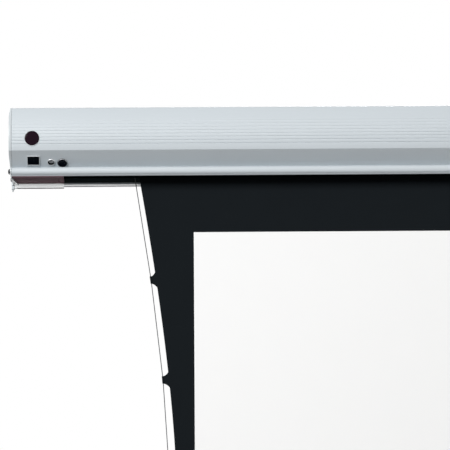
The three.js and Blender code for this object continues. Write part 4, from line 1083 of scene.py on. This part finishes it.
def tension_cord(side, tag):
    """A laid cord of three strands."""
    path = cord_path(side, CORD.spacing)
    rings = []
    travelled = 0
    for i, point in enumerate(path):
        if i > 0:
            travelled += (point - path[i - 1]).length
        twist = 2 * pi * travelled / (CORD.lay * CORD.strands)
        ring = []
        for angle in even(0, 2 * pi, CORD.facets)[:-1]:
            lobe = abs(cos((angle - twist) * CORD.strands / 2))
            x, y = polar(point, CORD.radius * (1 - CORD.lobe * (1 - lobe)), angle)
            ring.append((x, y, point.z))
        rings.append(ring)
    cord = skin("laid_cord" + tag, rings)
    piece(cord, "cord", "cord" + tag, sharp=60)
    rolls_up(cord)
    line = [point * METRES for point in cord_path(side, CORD.path_spacing)]


def winding():
    """The fabric wound on the roller, as one spiral sheet."""
    steps = round(WINDING.turns * WINDING.steps)

    def spiral(extra):
        points = []
        for turn in even(0, WINDING.turns, steps):
            radius = WINDING_INNER + turn * WINDING.pitch + extra
            angle = pi + (turn - WINDING.turns) * 2 * pi
            points.append(polar((ROLLER_Y, ROLLER.height), radius, angle))
        return points

    outline = spiral(0) + spiral(WINDING.thickness)[::-1]
    roll = prism("cloth_roll", outline, *about(0, edge_at(ROLLER.height, FABRIC)))
    piece(roll, "black_fabric", "wound_fabric", "roller")


# Weight bar
BAR_FRONT, BAR_REAR = about(FABRIC_MIDDLE, BAR.depth / 2)
HALF_BAR = edge_at(CHAMBER_TOP, CORD) + BAR.overhang
BAR_BODY_END = HALF_BAR - BAR.cap


def bar_section():
    """A rectangle with round corners, from its lower rear corner round."""
    front, rear = BAR_FRONT + BAR.corner, BAR_REAR - BAR.corner
    low, high = BAR_BOTTOM + BAR.corner, BAR_TOP - BAR.corner
    points = []
    for quarter, centre in enumerate(((rear, low), (rear, high), (front, high), (front, low))):
        start = (quarter - 1) * pi / 2
        points += arc(centre, BAR.corner, start, start + pi / 2, ARC_STEPS.bar)
    return points


def weight_bar():
    body = prism("bar_body", bar_section(), *about(0, BAR_BODY_END))
    along = about(0, BAR_BODY_END + OVERRUN)
    chamber = (BAR_FRONT + BAR.wall, BAR_REAR - BAR.wall)
    slot = about(FABRIC_MIDDLE, BAR.slot / 2)
    cutters = [
        block("cutter", along, chamber, (CHAMBER_BOTTOM, CHAMBER_TOP)),
        block("cutter", along, slot, (CHAMBER_TOP - BAR.wall, BAR_TOP + OVERRUN)),
    ]
    piece(combine(body, cutters), "black_sheet", "weight_bar", "bar")


def bar_end(side, tag):
    """An end cap of the bar, and the ribbed knob on its shaft."""
    inner = BAR_BODY_END + FIT
    cap = prism("bar_cap" + tag, bar_section(), side * inner, side * HALF_BAR)
    soften(cap, BAR.cap_edge, segments=4, least_turn=60)
    matrix = along_x(FABRIC_MIDDLE, KNOB_HEIGHT, side)
    hole = cylinder(KNOB.shaft + FIT, inner - OVERRUN, HALF_BAR + OVERRUN)
    combine(cap, [turned("cutter", hole, FACETS.boss, matrix)])
    piece(cap, "black_plastic", "bar_end_cap" + tag, "bar")
    seat = HALF_BAR + KNOB.gap
    outline = []
    for angle in even(0, 2 * pi, KNOB.ribs * KNOB.rib_facets)[:-1]:
        reach = KNOB.radius - KNOB.rib_depth * (1 - cos(angle * KNOB.ribs)) / 2
        outline.append(polar((FABRIC_MIDDLE, KNOB_HEIGHT), reach, angle))
    grip = prism("knob_grip" + tag, outline, side * seat, side * (seat + KNOB.length))
    soften(grip, KNOB.edge, least_turn=60)
    shaft = cylinder(KNOB.shaft, HALF_BAR - KNOB.shaft_length, seat + KNOB.shaft_seat)
    combine(grip, [turned("stem", shaft, FACETS.small, matrix)], "UNION")
    piece(grip, "dark_screw", "tension_knob" + tag, "knob" + tag)


def dress_nodes():
    """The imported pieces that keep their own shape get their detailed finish."""
    slots = {row["node"]: row["material_slot"] for row in frame["record"]["subparts"]}
    for name, node in frame["nodes"].items():
        dress(node, slots[name], sharp=30)


# Camera, light and floor
def aim(obj, target, roll=0):
    direction = Vector(target) - obj.location
    turn = direction.to_track_quat("-Z", "Y").to_matrix() @ Matrix.Rotation(roll, 3, "Z")
    obj.rotation_euler = turn.to_euler()


def away_from(azimuth, elevation):
    """The direction at an azimuth from the front, to the right, and an elevation."""
    across, up = radians(azimuth), radians(elevation)
    return Vector((sin(across) * cos(up), -cos(across) * cos(up), sin(up)))


def add_camera():
    data = bpy.data.cameras.new("camera")
    camera = add_object("camera", data)
    target = Vector(CAMERA.aim) * METRES
    camera.location = target + away_from(CAMERA.yaw, -CAMERA.pitch) * (CAMERA.distance * METRES)
    aim(camera, target, radians(CAMERA.roll))
    data.sensor_width = CAMERA.sensor
    data.lens = CAMERA.scale * CAMERA.distance / CAMERA.pixels * CAMERA.sensor
    data.clip_start = CAMERA.near * METRES
    data.clip_end = CAMERA.far * METRES
    bpy.context.scene.camera = camera


def add_lamp(name, azimuth, elevation, distance, size, share):
    """A soft lamp that adds a share of the plain level to what faces it at the target."""
    data = bpy.data.lights.new(name, "AREA")
    data.shape = "RECTANGLE"
    data.size, data.size_y = size
    lamp = add_object(name, data)
    lamp.location = Vector(LAMP_TARGET) + away_from(azimuth, elevation) * distance
    aim(lamp, LAMP_TARGET)
    data.energy = share * pi * pi * distance ** 2
    lamp.visible_camera = False


def seen_directly(tree):
    """One for rays from the camera and for reflected and refracted ones, and nought for diffuse light."""
    path = add_node(tree, "LightPath", {})
    value = path.outputs["Is Camera Ray"]
    for output in ("Is Glossy Ray", "Is Transmission Ray"):
        either = add_node(tree, "Math", {0: value, 1: path.outputs[output]}, operation="MAXIMUM")
        value = either.outputs[0]
    return value


def add_world():
    """A white background, and a soft level of light that falls off from above to below."""
    world = bpy.data.worlds.new("studio")
    bpy.context.scene.world = world
    world.use_nodes = True
    tree = world.node_tree
    tree.nodes.clear()
    place = add_node(tree, "TexCoord", {}).outputs["Generated"]
    parts = add_node(tree, "SeparateXYZ", {0: place})
    height = add_node(tree, "MapRange", {"From Min": -1, "Value": parts.outputs["Z"]})
    ramp = add_node(tree, "ValToRGB", {"Fac": height.outputs["Result"]})
    ramp.color_ramp.elements.new(0.5)
    for element, level in zip(ramp.color_ramp.elements, SKY.values()):
        element.color = (level, level, level, 1)
    light = add_node(tree, "Background", {"Color": ramp.outputs["Color"]})
    seen = add_node(tree, "Background", {"Color": (1, 1, 1, 1)})
    inputs = {"Fac": seen_directly(tree), 1: light.outputs[0], 2: seen.outputs[0]}
    mix = add_node(tree, "MixShader", inputs)
    add_node(tree, "OutputWorld", {"Surface": mix.outputs[0]})


def add_floor():
    """A pale floor that gives little light back to the underside of the case."""
    bm = bmesh.new()
    bmesh.ops.create_grid(bm, x_segments=FLOOR.cells, y_segments=FLOOR.cells, size=FLOOR.half)
    bmesh.ops.translate(bm, vec=(0, 0, FLOOR.height), verts=bm.verts)
    floor = bmesh_to_object("floor", bm)
    pale, bounce = [FLOOR.pale] * 3, [FLOOR.bounce] * 3
    paint = Finish("floor_paint", pale, FLOOR.roughness)
    tree, shader = paint.tree, paint.shader.outputs[0]
    direct = seen_directly(tree)
    paint.set(Base_Color=mix_colours(tree, direct, bounce, pale))
    glow = add_node(tree, "Emission", {"Strength": FLOOR.glow})
    lit = add_node(tree, "AddShader", {0: shader, 1: glow.outputs[0]})
    seen = add_node(tree, "MixShader", {"Fac": direct, 1: shader, 2: lit.outputs[0]})
    feed(tree, tree.nodes["Material Output"].inputs["Surface"], seen.outputs[0])
    floor.data.materials.append(paint.material)


add_camera()
add_world()
for lamp_name, lamp_sizes in LAMPS.items():
    add_lamp(lamp_name, **lamp_sizes)
add_floor()
dress_nodes()
case_shell()
bottom_cover()
under_nose("slot_felt", *about(0, SERVICE_END - FIT), "black_fabric", "slot_felt")
flange_strip()
infrared_window()
badge()
jack_socket()
push_button()
power_gland()
screen_fabric()
winding()
weight_bar()
for side, tag in ((-1, "_left"), (1, "_right")):
    end_cap(side, tag)
    cap_screws(side, tag)
    service_cover(side, tag)
    cover_lip(side, tag)
    # The cover skirt takes the service cover's colour, which is painted shade and a painted maroon
    # reflection
    under_nose("cover_skirt" + tag, side * SERVICE_END, side * (SHELL_END - FIT), "service_cover")
    tab_sleeves(side, tag)
    tension_cord(side, tag)
    bar_end(side, tag)

bpy.context.scene.view_settings.view_transform = "Standard"
